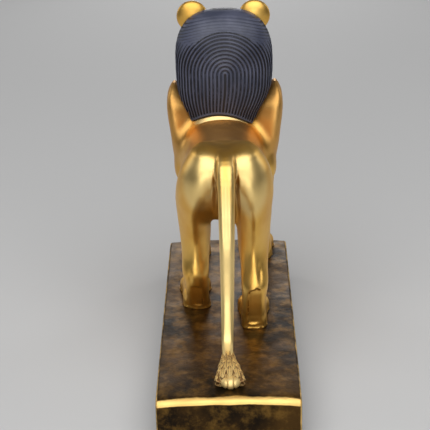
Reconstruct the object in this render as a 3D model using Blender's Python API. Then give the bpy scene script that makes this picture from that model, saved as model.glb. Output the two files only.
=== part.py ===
"""A striding lioness goddess in a grooved wig, cast in one, on a rectangular plinth.

Metres, +Z up. The origin is the middle of the plinth's underside, and the lioness
faces -Y. Her body is one field: a function that is negative inside the figure and
grows with the distance from its skin. Limbs are stacks of ellipses, the fields of
neighbouring limbs are blended, and a mesh is drawn where the whole field is zero.
"""

import bmesh
import bpy
import numpy as np
from mathutils import Matrix

# The plinth, in metres
PLINTH_HEIGHT = 0.028
PLINTH_REAR_MARGIN = 0.0097
PLINTH_FRONT_MARGIN = 0.0052
PLINTH_SIDE_MARGIN = 0.0098
PLINTH_EDGE_RADIUS = 0.0014
PLINTH_CORNER_WEAR = 0.0022

# How the wear at the plinth's corners fades inwards, and the cuts that let it show
WEAR_SPREAD_X = 2.5
WEAR_SPREAD_Y = 12
WEAR_CUTS_X = (-0.85, -0.65, -0.4, 0.0, 0.4, 0.65, 0.85)
WEAR_CUTS_Y = (-0.96, -0.9, -0.8, 0.8, 0.9, 0.96)

# The gap that keeps the figure's mesh clear of the plinth's
SEAT_GAP = 0.0003

# The figure's height from its paws to its ears. Everything below that is given in
# figure units is a share of it, and one unit is a millimetre at this height
FIGURE_HEIGHT = 0.175
UNIT = FIGURE_HEIGHT / 175

# How far from the wig's own field its black paint still reaches, in figure units
WIG_PAINT = 0.4

# The mesh of the figure
FIELD_CELL = 1.8
FIGURE_TRIANGLES = 9000

# Colours: red, green, blue, alpha
GILDING = (0.80, 0.52, 0.14, 1.0)
WIG_BLACK = (0.035, 0.038, 0.048, 1.0)
PLINTH_BROWN = (0.20, 0.13, 0.05, 1.0)

# How far the stance reaches, in figure units: Y of the leading forepaw's toe tips, and
# X of the widest paw's outer side
TOES_Y = -105.0
WIDEST_PAW_X = 30.2

# The trunk: Y, X, half width, height of the back, height of the belly
TRUNK = (
    (-92.0, 1.0, 14.0, 98.0, 62.0),
    (-84.0, 1.6, 23.0, 104.0, 52.0),
    (-70.0, 2.2, 27.5, 106.5, 49.0),
    (-56.0, 2.3, 27.0, 106.8, 52.0),
    (-38.0, 1.2, 25.0, 105.5, 59.0),
    (-20.0, 0.3, 24.5, 106.5, 62.0),
    (-2.0, -0.3, 26.0, 108.5, 60.0),
    (12.0, -0.3, 23.0, 108.0, 68.0),
    (20.0, -0.3, 14.5, 106.0, 82.0),
    (26.0, -0.3, 5.0, 101.5, 89.0),
)

# Round masses of the trunk, each with its centre and its radii
CHEST = ((0.0, -80.0, 84.0), (22.0, 15.5, 27.0))
HAUNCH = ((12.6, 5.5, 90.5), (10.2, 18.8, 19.5))

# The clefts that part the rump from the tail's root. They deepen downwards over
# CLEFT_FALL, and backwards from one Y to the other
CLEFT_OUT = 6.4
CLEFT_TOP = 106.0
CLEFT_FALL = 24.0
CLEFT_START_Y = 6.0
CLEFT_FULL_Y = 20.0
CLEFT_HALF_WIDTH = 3.0
CLEFT_DEPTH = 4.5

# How near two masses must be to be rounded into each other
TRUNK_REACH = 8.0
HIP_REACH = 7.0
SHOULDER_REACH = 7.0
NECK_REACH = 5.0
PAW_REACH = 3.0
TAIL_REACH = 2.5
TUFT_REACH = 1.0
HEAD_REACH = 1.0
COLLAR_REACH = 1.5
WIG_REACH = 3.0

# A hind leg that stands square: height, X, Y, half width, half depth
HIND_LEG = (
    (-1.0, 14.8, 18.0, 7.2, 7.6),
    (10.0, 15.4, 22.0, 6.9, 6.5),
    (20.0, 15.8, 23.0, 7.2, 7.4),
    (28.0, 16.2, 21.0, 8.1, 9.4),
    (37.0, 16.0, 13.0, 8.4, 11.5),
    (47.0, 16.0, 5.5, 9.3, 15.0),
    (60.0, 16.3, 2.0, 10.2, 19.5),
    (74.0, 16.4, 4.0, 10.6, 21.0),
    (87.0, 15.6, 7.0, 10.5, 18.8),
    (97.0, 14.2, 7.5, 8.8, 14.5),
    (105.0, 12.0, 6.0, 5.0, 8.0),
)
HIP_HEIGHT = 100.0

# The share by which a hind leg narrows towards its rear, and the heights between which
# the narrowing comes in and goes out
HIND_KEEL = 0.30
KEEL_COMES = (26.0, 36.0)
KEEL_GOES = (76.0, 94.0)

# The strides of the left and the right hind leg: side, swing forward, splay, Y of the
# heel, how far the paw is turned out, and the arched panel sunk into the shank's rear:
# how far out it lies, its top, half width and depth
HIND_STRIDES = (
    (1, 27.5, 3.2, -4.8, 2.2, 0.7, 20.0, 3.3, 1.1),
    (-1, 0.0, 0.0, 25.2, 0.2, 0.9, 28.0, 4.5, 1.5),
)
PANEL_FOOT = 3.5
PANEL_ARCH = 0.16

# A foreleg that stands square, from the ground to the shoulder
FORELEG = (
    (-1.0, 21.4, -79.0, 7.4, 8.4),
    (8.0, 21.4, -79.0, 7.2, 8.0),
    (18.0, 21.6, -79.0, 7.0, 7.8),
    (31.0, 22.2, -78.5, 7.3, 8.6),
    (46.0, 22.8, -77.0, 7.4, 9.8),
    (60.0, 24.0, -74.5, 7.2, 11.5),
    (71.0, 25.0, -73.0, 7.0, 14.0),
    (84.0, 25.0, -73.5, 8.9, 16.5),
    (96.0, 24.8, -75.0, 10.4, 16.0),
    (106.0, 26.0, -76.0, 10.5, 15.5),
    (114.0, 28.0, -76.5, 8.7, 14.0),
    (119.0, 30.7, -77.0, 5.2, 10.6),
    (122.0, 31.8, -77.5, 2.6, 7.0),
    (124.0, 32.2, -78.0, 0.8, 3.4),
)
SHOULDER_HEIGHT = 75.0
SHOULDER_RISE = 20.0
SHOULDER_SQUARENESS = 3.0
SHOULDER_SHEAR = 0.5
FORE_SWING = 6.0
ELBOW = ((28.4, -62.0, 72.5), (3.9, 8.0, 9.0))

# The paw's round tip: its share of the paw's length, its half width, its half height and
# the height of its middle
PAW_TIP_SHARE = 0.2
PAW_TIP = (8.2, 6.2, 3.2)

# A paw, from its heel forward: share of its length, half width, height
PAW = (
    (-0.01, 5.6, 7.0),
    (0.10, 7.0, 10.5),
    (0.35, 7.4, 12.0),
    (0.62, 8.4, 11.5),
    (0.84, 8.9, 9.5),
    (0.96, 7.6, 6.5),
)
HIND_PAW_LENGTH = 34.0
FORE_PAW_LENGTH = 29.0
TOES_START = 0.55
TOE_GROOVE_WIDTH = 1.3
TOE_GROOVE_DEPTH = 1.3

# The tail down the middle: X, Y, height, radius. Its back and sides are flattened
TAIL = (
    (-0.2, 2.0, 103.9, 4.6),
    (-0.3, 16.0, 104.2, 5.0),
    (-0.4, 27.5, 99.8, 5.1),
    (-0.5, 35.0, 86.0, 4.9),
    (-0.4, 42.5, 64.0, 4.4),
    (-0.2, 46.5, 44.0, 4.0),
    (0.0, 51.5, 26.0, 3.7),
    (0.3, 59.0, 11.5, 3.4),
    (0.3, 67.0, 6.4, 3.2),
    (0.0, 75.0, 4.6, 2.6),
)
TAIL_SQUARENESS = 3.2

# The tuft, a drop that widens to its end: Y, X, half width, height of the top
TUFT = (
    (62.0, 0.3, 3.2, 11.0),
    (67.0, 0.1, 3.6, 9.4),
    (72.0, 0.0, 4.4, 8.3),
    (78.0, -0.3, 5.6, 7.8),
    (84.0, -0.6, 6.8, 7.4),
    (90.0, -0.8, 7.8, 6.8),
    (94.0, -0.9, 7.9, 6.0),
    (97.0, -1.1, 6.0, 4.8),
    (98.5, -1.2, 3.0, 3.4),
)

# Where the tuft's ovals are widest, as a share of its height
TUFT_MIDDLE = 0.35

# The rounded knob at the tuft's end: its centre and its radii
KNOB = ((-1.2, 96.2, 2.6), (6.0, 4.3, 3.4))

# Locks round the half of the tuft that shows, and the depth of the cuts between them
TUFT_LOCKS = 4.0
TUFT_DEPTH = 1.0

# The neck, from the chest up into the head: X, Y, height, radius
NECK = (
    (0.0, -79.0, 86.0, 17.0),
    (0.0, -79.5, 108.0, 17.5),
    (0.0, -80.0, 130.0, 18.0),
)

# The head's masses, each with its centre and its radii. The left one of a pair is given
SKULL = ((0.0, -79.0, 147.5), (22.5, 20.0, 21.5))
RUFF = ((0.0, -87.0, 144.5), (26.0, 5.6, 24.5))
CHEEK = ((12.2, -90.0, 143.5), (9.8, 6.6, 10.5))
TEMPLE = ((14.5, -83.5, 160.5), (6.0, 4.5, 6.0))
MUZZLE = ((0.0, -95.0, 140.5), (10.5, 13.8, 9.0))
LIP = ((5.2, -100.0, 139.6), (6.2, 8.6, 6.2))
CHIN = ((0.0, -96.0, 132.4), (7.4, 9.4, 5.2))
EYE_SOCKET = ((10.4, -99.6, 152.6), (5.4, 3.4, 3.2))
EYE = ((10.6, -95.0, 153.0), (4.4, 3.4, 2.7))
NOSE = ((0.0, -106.2, 146.2), (5.0, 3.2, 3.3))
EAR = ((19.6, -83.0, 165.2), (9.8, 4.9, 9.9))
EAR_HOLLOW = ((18.9, -88.6, 165.0), (7.2, 5.4, 7.5))

# The bridge of the nose, and the left brow: X, Y, height, radius
BRIDGE = (
    (0.0, -90.0, 158.5, 7.4),
    (0.0, -97.0, 154.6, 7.0),
    (0.0, -103.3, 147.0, 5.6),
)
BROW = (
    (3.5, -97.0, 157.5, 2.2),
    (10.0, -95.0, 160.6, 2.6),
    (17.5, -89.5, 157.5, 2.2),
)

# The mouth's line on the front of the muzzle: its height, its rise towards its ends,
# the Y where it ends, and the top of the parting under the nose
MOUTH_HEIGHT = 136.2
MOUTH_BOW = 0.05
MOUTH_BACK = -98.0
PARTING_TOP = 146.0
MOUTH_HALF_WIDTH = 1.2
MOUTH_DEPTH = 1.3

# The wig's level sections below the temples: height, X, half width, front Y, back Y,
# squareness
WIG_FALL = (
    (94.0, 2.4, 17.5, -80.0, -60.5, 3.4),
    (102.0, 2.4, 19.2, -82.0, -58.5, 3.3),
    (108.0, 2.2, 21.0, -84.0, -57.0, 3.1),
    (115.0, 1.3, 25.8, -86.5, -55.0, 3.0),
    (123.0, 0.3, 29.2, -88.5, -53.3, 2.6),
    (131.0, 0.0, 30.4, -90.0, -52.6, 2.3),
    (139.0, 0.0, 30.6, -90.5, -53.2, 2.3),
)
WIG_TEMPLE = 139.0
WIG_CROWN = 171.0
WIG_CROWN_Y = -79.0
WIG_WIDTH_POWER = 2.7
WIG_DEPTH_POWER = 2.1

# The wig's hem behind: its height in the middle, its lean and its bow
HEM = (107.8, 0.145, 0.0182)

# The gilded collar under the hem: how far below it starts, how far it stands out from
# the wig, how round its lip is, and its foot inside the shoulders
COLLAR_GAP = 0.3
COLLAR_STAND = 1.1
COLLAR_ROUND = 2.6
COLLAR_FOOT = 88.0

# One of the wig's two lappets on the chest: height, X, Y, half width, half depth
LAPPET = (
    (82.0, 14.5, -96.0, 7.4, 3.4),
    (92.0, 15.0, -95.5, 7.8, 3.6),
    (104.0, 16.5, -94.0, 8.2, 3.9),
    (116.0, 18.5, -90.0, 8.2, 4.6),
    (130.0, 20.5, -83.0, 7.6, 6.6),
    (144.0, 20.0, -77.0, 7.0, 7.0),
)


def through(stations, at):
    """Values at the places `at`, on smooth curves through rows of (place, value, ...)."""
    rows = np.array(stations)
    places, values = rows[:, 0], rows[:, 1:]
    slopes = np.gradient(values, places, axis=0)
    at = np.clip(at, places[0], places[-1])
    row = np.clip(np.searchsorted(places, at) - 1, 0, len(places) - 2)
    step = (places[row + 1] - places[row])[:, None]
    share = (at - places[row])[:, None] / step
    rest = 1 - share
    return (
        (1 + 2 * share) * rest**2 * values[row]
        + share * rest**2 * step * slopes[row]
        + share**2 * (3 - 2 * share) * values[row + 1]
        - share**2 * rest * step * slopes[row + 1]
    )


def blend(first, second, reach):
    """Union of two fields, rounded where they are within `reach` of each other."""
    near = np.maximum(reach - np.abs(first - second), 0)
    return np.minimum(first, second) - near**2 / (4 * reach)


def carve(body, cutter, reach):
    """A body's field with a cutter taken out of it, its lips rounded."""
    return -blend(-body, cutter, reach)


def score(body, across, half_width, depth):
    """A body's field with a V groove cut along the line where `across` is zero."""
    return body + depth * np.clip(1 - np.abs(across) / half_width, 0, 1)


def rise(values, start, stop):
    """A smooth step from 0 at `start` to 1 at `stop`."""
    share = np.clip((values - start) / (stop - start), 0, 1)
    return share * share * (3 - 2 * share)


def mirrored(points):
    """The points with their right-hand side folded onto the left."""
    folded = points.copy()
    folded[:, 0] = np.abs(points[:, 0])
    return folded


def ellipsoid(points, centre, radii):
    """Field of an ellipsoid with its axes along X, Y and Z."""
    offset = points - np.array(centre)
    radii = np.array(radii)
    scaled = np.linalg.norm(offset / radii, axis=1)
    gradient = np.linalg.norm(offset / radii**2, axis=1) + 1e-6
    return scaled * (scaled - 1) / gradient


def capped(side, along, start, stop):
    """A field that goes on along one axis, closed by flat ends at start and stop."""
    past = np.maximum(start - along, along - stop)
    outside = np.hypot(np.maximum(side, 0), past)
    return np.where(past > 0, outside, np.maximum(side, past))


def section(across, up, half_width, half_height, power=2.0):
    """Field of an oval: a circle at power 2, squarer above that."""
    ratio = (np.abs(across / half_width) ** power + np.abs(up / half_height) ** power) ** (1 / power)
    return (ratio - 1) * np.minimum(half_width, half_height)


def tube(points, stations, power=2.0):
    """Field of a tube through rows of (X, Y, height, radius), flattened above power 2."""
    steps = np.arange(len(stations), dtype=float)
    numbered = np.column_stack([steps, stations])
    dense = through(numbered, np.linspace(0, steps[-1], 3 * len(stations)))
    field = np.full(len(points), np.inf)
    for start, stop in zip(dense[:-1], dense[1:]):
        run = stop[:3] - start[:3]
        offset = points - start[:3]
        share = np.clip(offset @ run / (run @ run), 0, 1)
        radius = start[3] + share * (stop[3] - start[3])
        off = offset - share[:, None] * run
        sideways, backwards = np.abs(off[:, 0]), np.hypot(off[:, 1], off[:, 2])
        distance = (sideways**power + backwards**power) ** (1 / power)
        field = np.minimum(field, distance - radius)
    return field


def trunk(points):
    """The trunk, as upright ovals strung along Y, with the chest and the haunches."""
    across, along, up = points.T
    middle, half_width, back, belly = through(TRUNK, along).T
    side = section(across - middle, up - (back + belly) / 2, half_width, (back - belly) / 2, 2.2)
    body = blend(capped(side, along, TRUNK[0][0], TRUNK[-1][0]), ellipsoid(points, *CHEST), TRUNK_REACH)
    return blend(body, ellipsoid(mirrored(points), *HAUNCH), HIP_REACH)


def leg(points, stations, side, swing, splay, pivot_height, keel=0.0, power=2.0):
    """A leg as level ovals. `swing` moves its foot forward, and `splay` moves it out.

    The ovals narrow towards their rear by the share `keel`.
    """
    across, along, up = points.T
    out, place, half_width, half_depth = through(stations, up).T
    lowered = np.clip(1 - up / pivot_height, 0, 1)
    out = out + splay * np.clip(4 * lowered, 0, 1)
    back = along - place + swing * lowered
    half_width = half_width * (1 - keel * np.clip(back / half_depth, 0, 1) ** 2)
    oval = section(across * side - out, back, half_width, half_depth, power)
    return capped(oval, up, stations[0][0], stations[-1][0])


def paw(points, side, out, heel, length):
    """A paw with its heel at Y `heel`, and three grooves between its four toes."""
    across, along, up = points.T
    forward = (heel - along) / length
    half_width, height = through(PAW, forward).T
    beside = across * side - out
    oval = section(beside, up - 0.34 * height, half_width, 0.66 * height, 2.4)
    tip_width, tip_height, tip_middle = PAW_TIP
    tip_centre = (side * out, heel - (1 - PAW_TIP_SHARE) * length, tip_middle)
    tip = ellipsoid(points, tip_centre, (tip_width, PAW_TIP_SHARE * length, tip_height))
    body = blend(capped(oval, forward * length, 0.0, PAW[-1][0] * length), tip, 2.0)
    toes = np.clip(8 * (forward - TOES_START), 0, 1)
    for share in (-0.5, 0.0, 0.5):
        body = score(body, beside - share * half_width, TOE_GROOVE_WIDTH, toes * TOE_GROOVE_DEPTH)
    return body


def hind_leg(points, side, swing, splay, heel, toe_out, panel_out, panel_top, panel_width, panel_depth):
    """A hind leg with its paw, and the arched panel sunk into the rear of its shank."""
    across, along, up = points.T
    keel = HIND_KEEL * rise(up, *KEEL_COMES) * (1 - rise(up, *KEEL_GOES))
    oval = leg(points, HIND_LEG, side, swing, splay, HIP_HEIGHT, keel)
    out, place, half_depth = through(HIND_LEG, up).T[[0, 1, 3]]
    rear = place - swing * np.clip(1 - up / HIP_HEIGHT, 0, 1) + half_depth
    beside = across * side - out - splay - panel_out
    panel = np.maximum(rear - panel_depth - along, np.abs(beside) - panel_width)
    panel = np.maximum(panel, np.maximum(up - panel_top + PANEL_ARCH * beside**2, PANEL_FOOT - up))
    oval = carve(oval, panel, 0.5)
    foot_out = HIND_LEG[1][1] + splay + toe_out
    return blend(oval, paw(points, side, foot_out, heel, HIND_PAW_LENGTH), PAW_REACH)


def foreleg(points, side, swing):
    """A foreleg with its paw, and its shoulder, which stands up beside the wig.

    The shoulder's rear face is turned a little inwards, by moving it back as it goes out.
    """
    upper = rise(points[:, 2], SHOULDER_HEIGHT, SHOULDER_HEIGHT + SHOULDER_RISE)
    power = 2 + (SHOULDER_SQUARENESS - 2) * upper
    turned = points.copy()
    out = through(FORELEG, points[:, 2])[:, 0]
    turned[:, 1] -= SHOULDER_SHEAR * upper * (side * points[:, 0] - out)
    oval = leg(turned, FORELEG, side, swing, 0.0, SHOULDER_HEIGHT, power=power)
    heel = FORELEG[0][2] - swing + FORELEG[0][4]
    oval = blend(oval, paw(points, side, FORELEG[0][1], heel, FORE_PAW_LENGTH), PAW_REACH)
    centre, radii = ELBOW
    return blend(oval, ellipsoid(points, (side * centre[0], *centre[1:]), radii), PAW_REACH)


def tuft(points):
    """The tail's tuft: a drop that lies on the plinth, cut into long locks, and its knob."""
    across, along, up = points.T
    middle, half_width, top = through(TUFT, along).T
    beside = across - middle
    oval = section(beside, up - TUFT_MIDDLE * top, half_width, (1 - TUFT_MIDDLE) * top)
    body = capped(oval, along, TUFT[0][0], TUFT[-1][0])
    angle = np.arctan2(up * half_width / top, beside)
    valley = 1 - np.abs(np.sin(TUFT_LOCKS * angle))
    return blend(body + TUFT_DEPTH * valley**2, ellipsoid(points, *KNOB), TUFT_REACH)


def head(points):
    """The head: skull, ruff, muzzle, cheeks, brows, eyes and round ears."""
    folded = mirrored(points)
    across, along, up = folded.T
    field = ellipsoid(folded, *SKULL)
    forms = (
        (ellipsoid(folded, *CHEEK), 5.0),
        (ellipsoid(folded, *TEMPLE), 3.0),
        (tube(folded, BRIDGE), 4.0),
        (ellipsoid(folded, *MUZZLE), 4.0),
        (ellipsoid(folded, *LIP), 2.0),
        (ellipsoid(folded, *CHIN), 2.0),
        (tube(folded, BROW), 3.0),
        (ellipsoid(folded, *RUFF), 1.6),
    )
    for form, reach in forms:
        field = blend(field, form, reach)
    field = carve(field, ellipsoid(folded, *EYE_SOCKET), 1.5)
    field = np.minimum(field, ellipsoid(folded, *EYE))
    mouth_height = MOUTH_HEIGHT + MOUTH_BOW * (across - LIP[0][0]) ** 2
    in_front = np.clip((MOUTH_BACK - along) / 2.0, 0, 1)
    field = score(field, up - mouth_height, MOUTH_HALF_WIDTH, MOUTH_DEPTH * in_front)
    below_nose = (up > MOUTH_HEIGHT) & (up < PARTING_TOP)
    field = score(field, across, MOUTH_HALF_WIDTH, MOUTH_DEPTH * in_front * below_nose)
    field = blend(field, ellipsoid(folded, *NOSE), 0.8)
    return blend(field, carve(ellipsoid(folded, *EAR), ellipsoid(folded, *EAR_HOLLOW), 1.2), 1.5)


def hem_height(across):
    """Height of the wig's hem behind: a parabola in X."""
    middle, lean, bow = HEM
    return middle + lean * across - bow * across**2


def wig(points):
    """The wig: a dome above the temples, a fall down the back, and two lappets."""
    across, along, up = points.T
    fall_x, half_width, front, back, power = through(WIG_FALL, up).T
    risen = np.clip((up - WIG_TEMPLE) / (WIG_CROWN - WIG_TEMPLE), 0, 0.9999)
    narrowing = (1 - risen**WIG_WIDTH_POWER) ** (1 / WIG_WIDTH_POWER)
    shallowing = (1 - risen**WIG_DEPTH_POWER) ** (1 / WIG_DEPTH_POWER)
    middle = (front + back) / 2
    middle = middle + (WIG_CROWN_Y - middle) * (1 - shallowing)
    half_depth = (back - front) / 2 * shallowing
    fall = section(across - fall_x, along - middle, half_width * narrowing, half_depth, power)
    fall = capped(fall, up, WIG_FALL[0][0], WIG_CROWN)
    fall = np.maximum(fall, hem_height(across) - up)
    out, place, half_width, half_depth = through(LAPPET, up).T
    lappet = section(np.abs(across) - out, along - place, half_width, half_depth, 3.0)
    lappet = capped(lappet, up, LAPPET[0][0], LAPPET[-1][0])
    return blend(fall, lappet, WIG_REACH)


def collar(points):
    """The gilded collar under the wig's hem: the fall's ovals, wider, with a round lip."""
    across, along, up = points.T
    fall_x, half_width, front, back, power = through(WIG_FALL, up).T
    oval = section(across - fall_x, along - (front + back) / 2, half_width, (back - front) / 2, power)
    below = hem_height(across) - up - COLLAR_GAP
    return np.maximum(carve(oval - COLLAR_STAND, below, COLLAR_ROUND), COLLAR_FOOT - up)


def cleft(points):
    """How deep the clefts beside the tail's root are at the points, in figure units."""
    across, along, up = points.T
    fallen = rise(CLEFT_TOP - up, 0.0, CLEFT_FALL)
    beside = np.abs(across - TAIL[1][0]) - CLEFT_OUT + CLEFT_HALF_WIDTH / 2 * fallen
    depth = CLEFT_DEPTH * fallen * rise(along, CLEFT_START_Y, CLEFT_FULL_Y)
    return depth * np.clip(1 - (beside / CLEFT_HALF_WIDTH) ** 2, 0, 1) ** 2


def figure(points):
    """The whole figure, standing on height 0, in figure units."""
    hind = [hind_leg(points, *stride) for stride in HIND_STRIDES]
    body = blend(trunk(points), np.minimum(*hind), HIP_REACH)
    for side in (1, -1):
        body = blend(body, foreleg(points, side, -side * FORE_SWING), SHOULDER_REACH)
    body = blend(body, tube(points, NECK), NECK_REACH) + cleft(points)
    body = blend(body, tube(points, TAIL, TAIL_SQUARENESS), TAIL_REACH)
    body = blend(body, collar(points), COLLAR_REACH)
    body = blend(body, tuft(points), TAIL_REACH)
    body = blend(body, head(points), HEAD_REACH)
    body = blend(body, wig(points), HEAD_REACH)
    return np.maximum(body, SEAT_GAP / UNIT - points[:, 2])


def sample(field, low, high, cell):
    """Values of a field on a grid, worked out only in the blocks near its skin."""
    block = 4
    blocks = np.ceil((np.array(high) - low) / (cell * block)).astype(int)
    centres = [low[k] + cell * (block * np.arange(blocks[k]) + 1.5) for k in range(3)]
    coarse_points = np.stack(np.meshgrid(*centres, indexing="ij"), -1).reshape(-1, 3)
    coarse = field(coarse_points).reshape(blocks)
    near = np.abs(coarse) < 3.2 * block * cell
    for axis in range(3):
        coarse = np.repeat(coarse, block, axis)
        near = np.repeat(near, block, axis)
    index = np.argwhere(near)
    coarse[near] = field(np.array(low) + cell * index)
    return coarse


def corners(inside):
    """The eight corners of every grid cell, as views keyed by their steps in X, Y, Z."""
    steps = (slice(None, -1), slice(1, None))
    return {(i, j, k): inside[steps[i], steps[j], steps[k]] for i in (0, 1) for j in (0, 1) for k in (0, 1)}


def fill_touching(inside):
    """Fill nodes until no two inside corners of a cell meet only across its diagonal.

    Without this a skin can touch itself in a crevice narrower than a cell.
    """
    while True:
        before = np.count_nonzero(inside)
        for axis in range(3):
            plane = np.moveaxis(inside, axis, 2)
            a, b, c, d = plane[:-1, :-1], plane[1:, :-1], plane[1:, 1:], plane[:-1, 1:]
            b |= a & c & ~b & ~d
            a |= b & d & ~a & ~c
        corner = corners(inside)
        for i, j in ((0, 0), (0, 1), (1, 0), (1, 1)):
            start, stop = corner[i, j, 0], corner[1 - i, 1 - j, 1]
            rest = [corner[key] for key in corner if key not in ((i, j, 0), (1 - i, 1 - j, 1))]
            rest[0][:] |= start & stop & ~np.logical_or.reduce(rest)
            start |= ~start & ~stop & np.logical_and.reduce(rest)
        if np.count_nonzero(inside) == before:
            return inside


def skin(field, low, high, cell):
    """Quads where a field is zero: a corner in each grid cell that the skin crosses.

    Each grid edge that the skin cuts gives one quad, whose corners lie in the four
    cells round that edge, each at the mean of the cuts on its cell's own edges.
    """
    values = sample(field, low, high, cell)
    filled = fill_touching(values < 0)
    values = np.where(filled & (values >= 0), -0.1 * cell, values)
    shape = np.array(values.shape)
    strides = np.array((shape[1] * shape[2], shape[2], 1))
    quads, owners, cuts = [], [], []
    for axis in range(3):
        first = np.moveaxis(values, axis, 0)[:-1]
        second = np.moveaxis(values, axis, 0)[1:]
        crossed = np.argwhere((first < 0) != (second < 0))
        near = first[tuple(crossed.T)]
        far = second[tuple(crossed.T)]
        others = [k for k in range(3) if k != axis]
        node = np.empty_like(crossed)
        node[:, axis] = crossed[:, 0]
        node[:, others[0]] = crossed[:, 1]
        node[:, others[1]] = crossed[:, 2]
        cut = node.astype(float)
        cut[:, axis] += near / (near - far)
        own = node @ strides
        back_one, back_two = strides[others[0]], strides[others[1]]
        ring = np.stack([own, own - back_one, own - back_one - back_two, own - back_two], 1)
        turned = (near > 0) if axis == 1 else (near < 0)
        ring[~turned] = ring[~turned][:, ::-1]
        quads.append(ring)
        owners.append(ring.ravel())
        cuts.append(np.repeat(cut, 4, axis=0))
    owners = np.concatenate(owners)
    corner = np.unique(owners, return_inverse=True)[1]
    count = np.bincount(corner)
    cuts = np.concatenate(cuts)
    places = np.stack([np.bincount(corner, cuts[:, k]) / count for k in range(3)], 1)
    faces = corner.reshape(-1, 4)
    return np.array(low) + cell * places, faces


def material(name, colour, metallic, roughness):
    """A Principled material of one plain colour."""
    made = bpy.data.materials.new(name)
    made.use_nodes = True
    shader = made.node_tree.nodes["Principled BSDF"]
    shader.inputs["Base Color"].default_value = colour
    shader.inputs["Metallic"].default_value = metallic
    shader.inputs["Roughness"].default_value = roughness
    return made


def add_object(name, mesh, materials):
    """Put a mesh into the scene as a named object with its materials."""
    placed = bpy.data.objects.new(name, mesh)
    bpy.context.scene.collection.objects.link(placed)
    for each in materials:
        mesh.materials.append(each)
    mesh.shade_smooth()
    return placed


def make_lioness(gilding, black):
    """The figure as one closed mesh, with the wig's faces in the second material."""
    low = np.array((-44.0, -118.0, -6.0))
    high = np.array((44.0, 110.0, 182.0))
    places, faces = skin(figure, low, high, FIELD_CELL)
    mesh = bpy.data.meshes.new("figure grid")
    mesh.from_pydata(places.tolist(), [], faces.tolist())
    lioness = add_object("lioness", mesh, ())
    thin = lioness.modifiers.new("thin", "DECIMATE")
    thin.ratio = FIGURE_TRIANGLES / (2 * len(faces))
    evaluated = lioness.evaluated_get(bpy.context.evaluated_depsgraph_get())
    thinned = bpy.data.meshes.new_from_object(evaluated)
    thinned.name = "lioness"
    lioness.modifiers.remove(thin)
    lioness.data = thinned
    bpy.data.meshes.remove(mesh)
    thinned.materials.append(gilding)
    thinned.materials.append(black)
    centres = np.array([face.center for face in thinned.polygons])
    is_wig = (wig(centres) < WIG_PAINT) & (wig(centres) < head(centres))
    thinned.polygons.foreach_set("material_index", is_wig.astype(np.int32))
    thinned.transform(Matrix.Translation((0, 0, PLINTH_HEIGHT)) @ Matrix.Scale(UNIT, 4))
    thinned.shade_smooth()
    return lioness


def rub_corners(block, middle, half_width, half_length):
    """Lower the top towards its corners, as if rubbed down by handling."""
    for vertex in block.verts:
        if vertex.co.z < PLINTH_HEIGHT / 2:
            continue
        across = abs(vertex.co.x) / half_width
        along = abs(vertex.co.y - middle) / half_length
        vertex.co.z -= PLINTH_CORNER_WEAR * across**WEAR_SPREAD_X * along**WEAR_SPREAD_Y


def make_plinth(brown):
    """The plinth: a block under the whole stance, with rubbed edges and corners."""
    front = TOES_Y * UNIT - PLINTH_FRONT_MARGIN
    rear = (KNOB[0][1] + KNOB[1][1]) * UNIT + PLINTH_REAR_MARGIN
    half_width = WIDEST_PAW_X * UNIT + PLINTH_SIDE_MARGIN
    half_length = (rear - front) / 2
    middle = (front + rear) / 2
    block = bmesh.new()
    size = (2 * half_width, 2 * half_length, PLINTH_HEIGHT)
    bmesh.ops.create_cube(block, size=1.0)
    bmesh.ops.scale(block, vec=size, verts=block.verts)
    bmesh.ops.translate(block, vec=(0, middle, PLINTH_HEIGHT / 2), verts=block.verts)
    cuts = [((share * half_width, 0, 0), (1, 0, 0)) for share in WEAR_CUTS_X]
    cuts += [((0, middle + share * half_length, 0), (0, 1, 0)) for share in WEAR_CUTS_Y]
    for place, across in cuts:
        everything = block.verts[:] + block.edges[:] + block.faces[:]
        bmesh.ops.bisect_plane(block, geom=everything, plane_co=place, plane_no=across)
    rub_corners(block, middle, half_width, half_length)
    mesh = bpy.data.meshes.new("plinth")
    block.to_mesh(mesh)
    block.free()
    plinth = add_object("plinth", mesh, (brown,))
    rounding = plinth.modifiers.new("rubbed edges", "BEVEL")
    rounding.width = PLINTH_EDGE_RADIUS
    rounding.segments = 3
    rounding.limit_method = "ANGLE"
    return plinth


def main():
    """Build both pieces."""
    for old in list(bpy.data.objects):
        bpy.data.objects.remove(old)
    gilding = material("gilding", GILDING, 1.0, 0.3)
    black = material("wig_black", WIG_BLACK, 0.3, 0.4)
    brown = material("antiqued_brown", PLINTH_BROWN, 0.7, 0.45)
    make_lioness(gilding, black)
    make_plinth(brown)


main()
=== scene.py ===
"""A striding lioness goddess in a grooved black wig, gilded, on an antiqued plinth.

The figure's skin is worked out from fields: functions that are negative inside her and
grow with the distance from her skin. All their numbers are in figure units, which are
millimetres above the plinth's top, with +X her left, -Y her front and +Z up.
"""

import logging
import math
from collections.abc import Callable
from dataclasses import dataclass
from enum import Enum

import bpy
import numpy as np
from mathutils import Matrix, Vector


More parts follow.
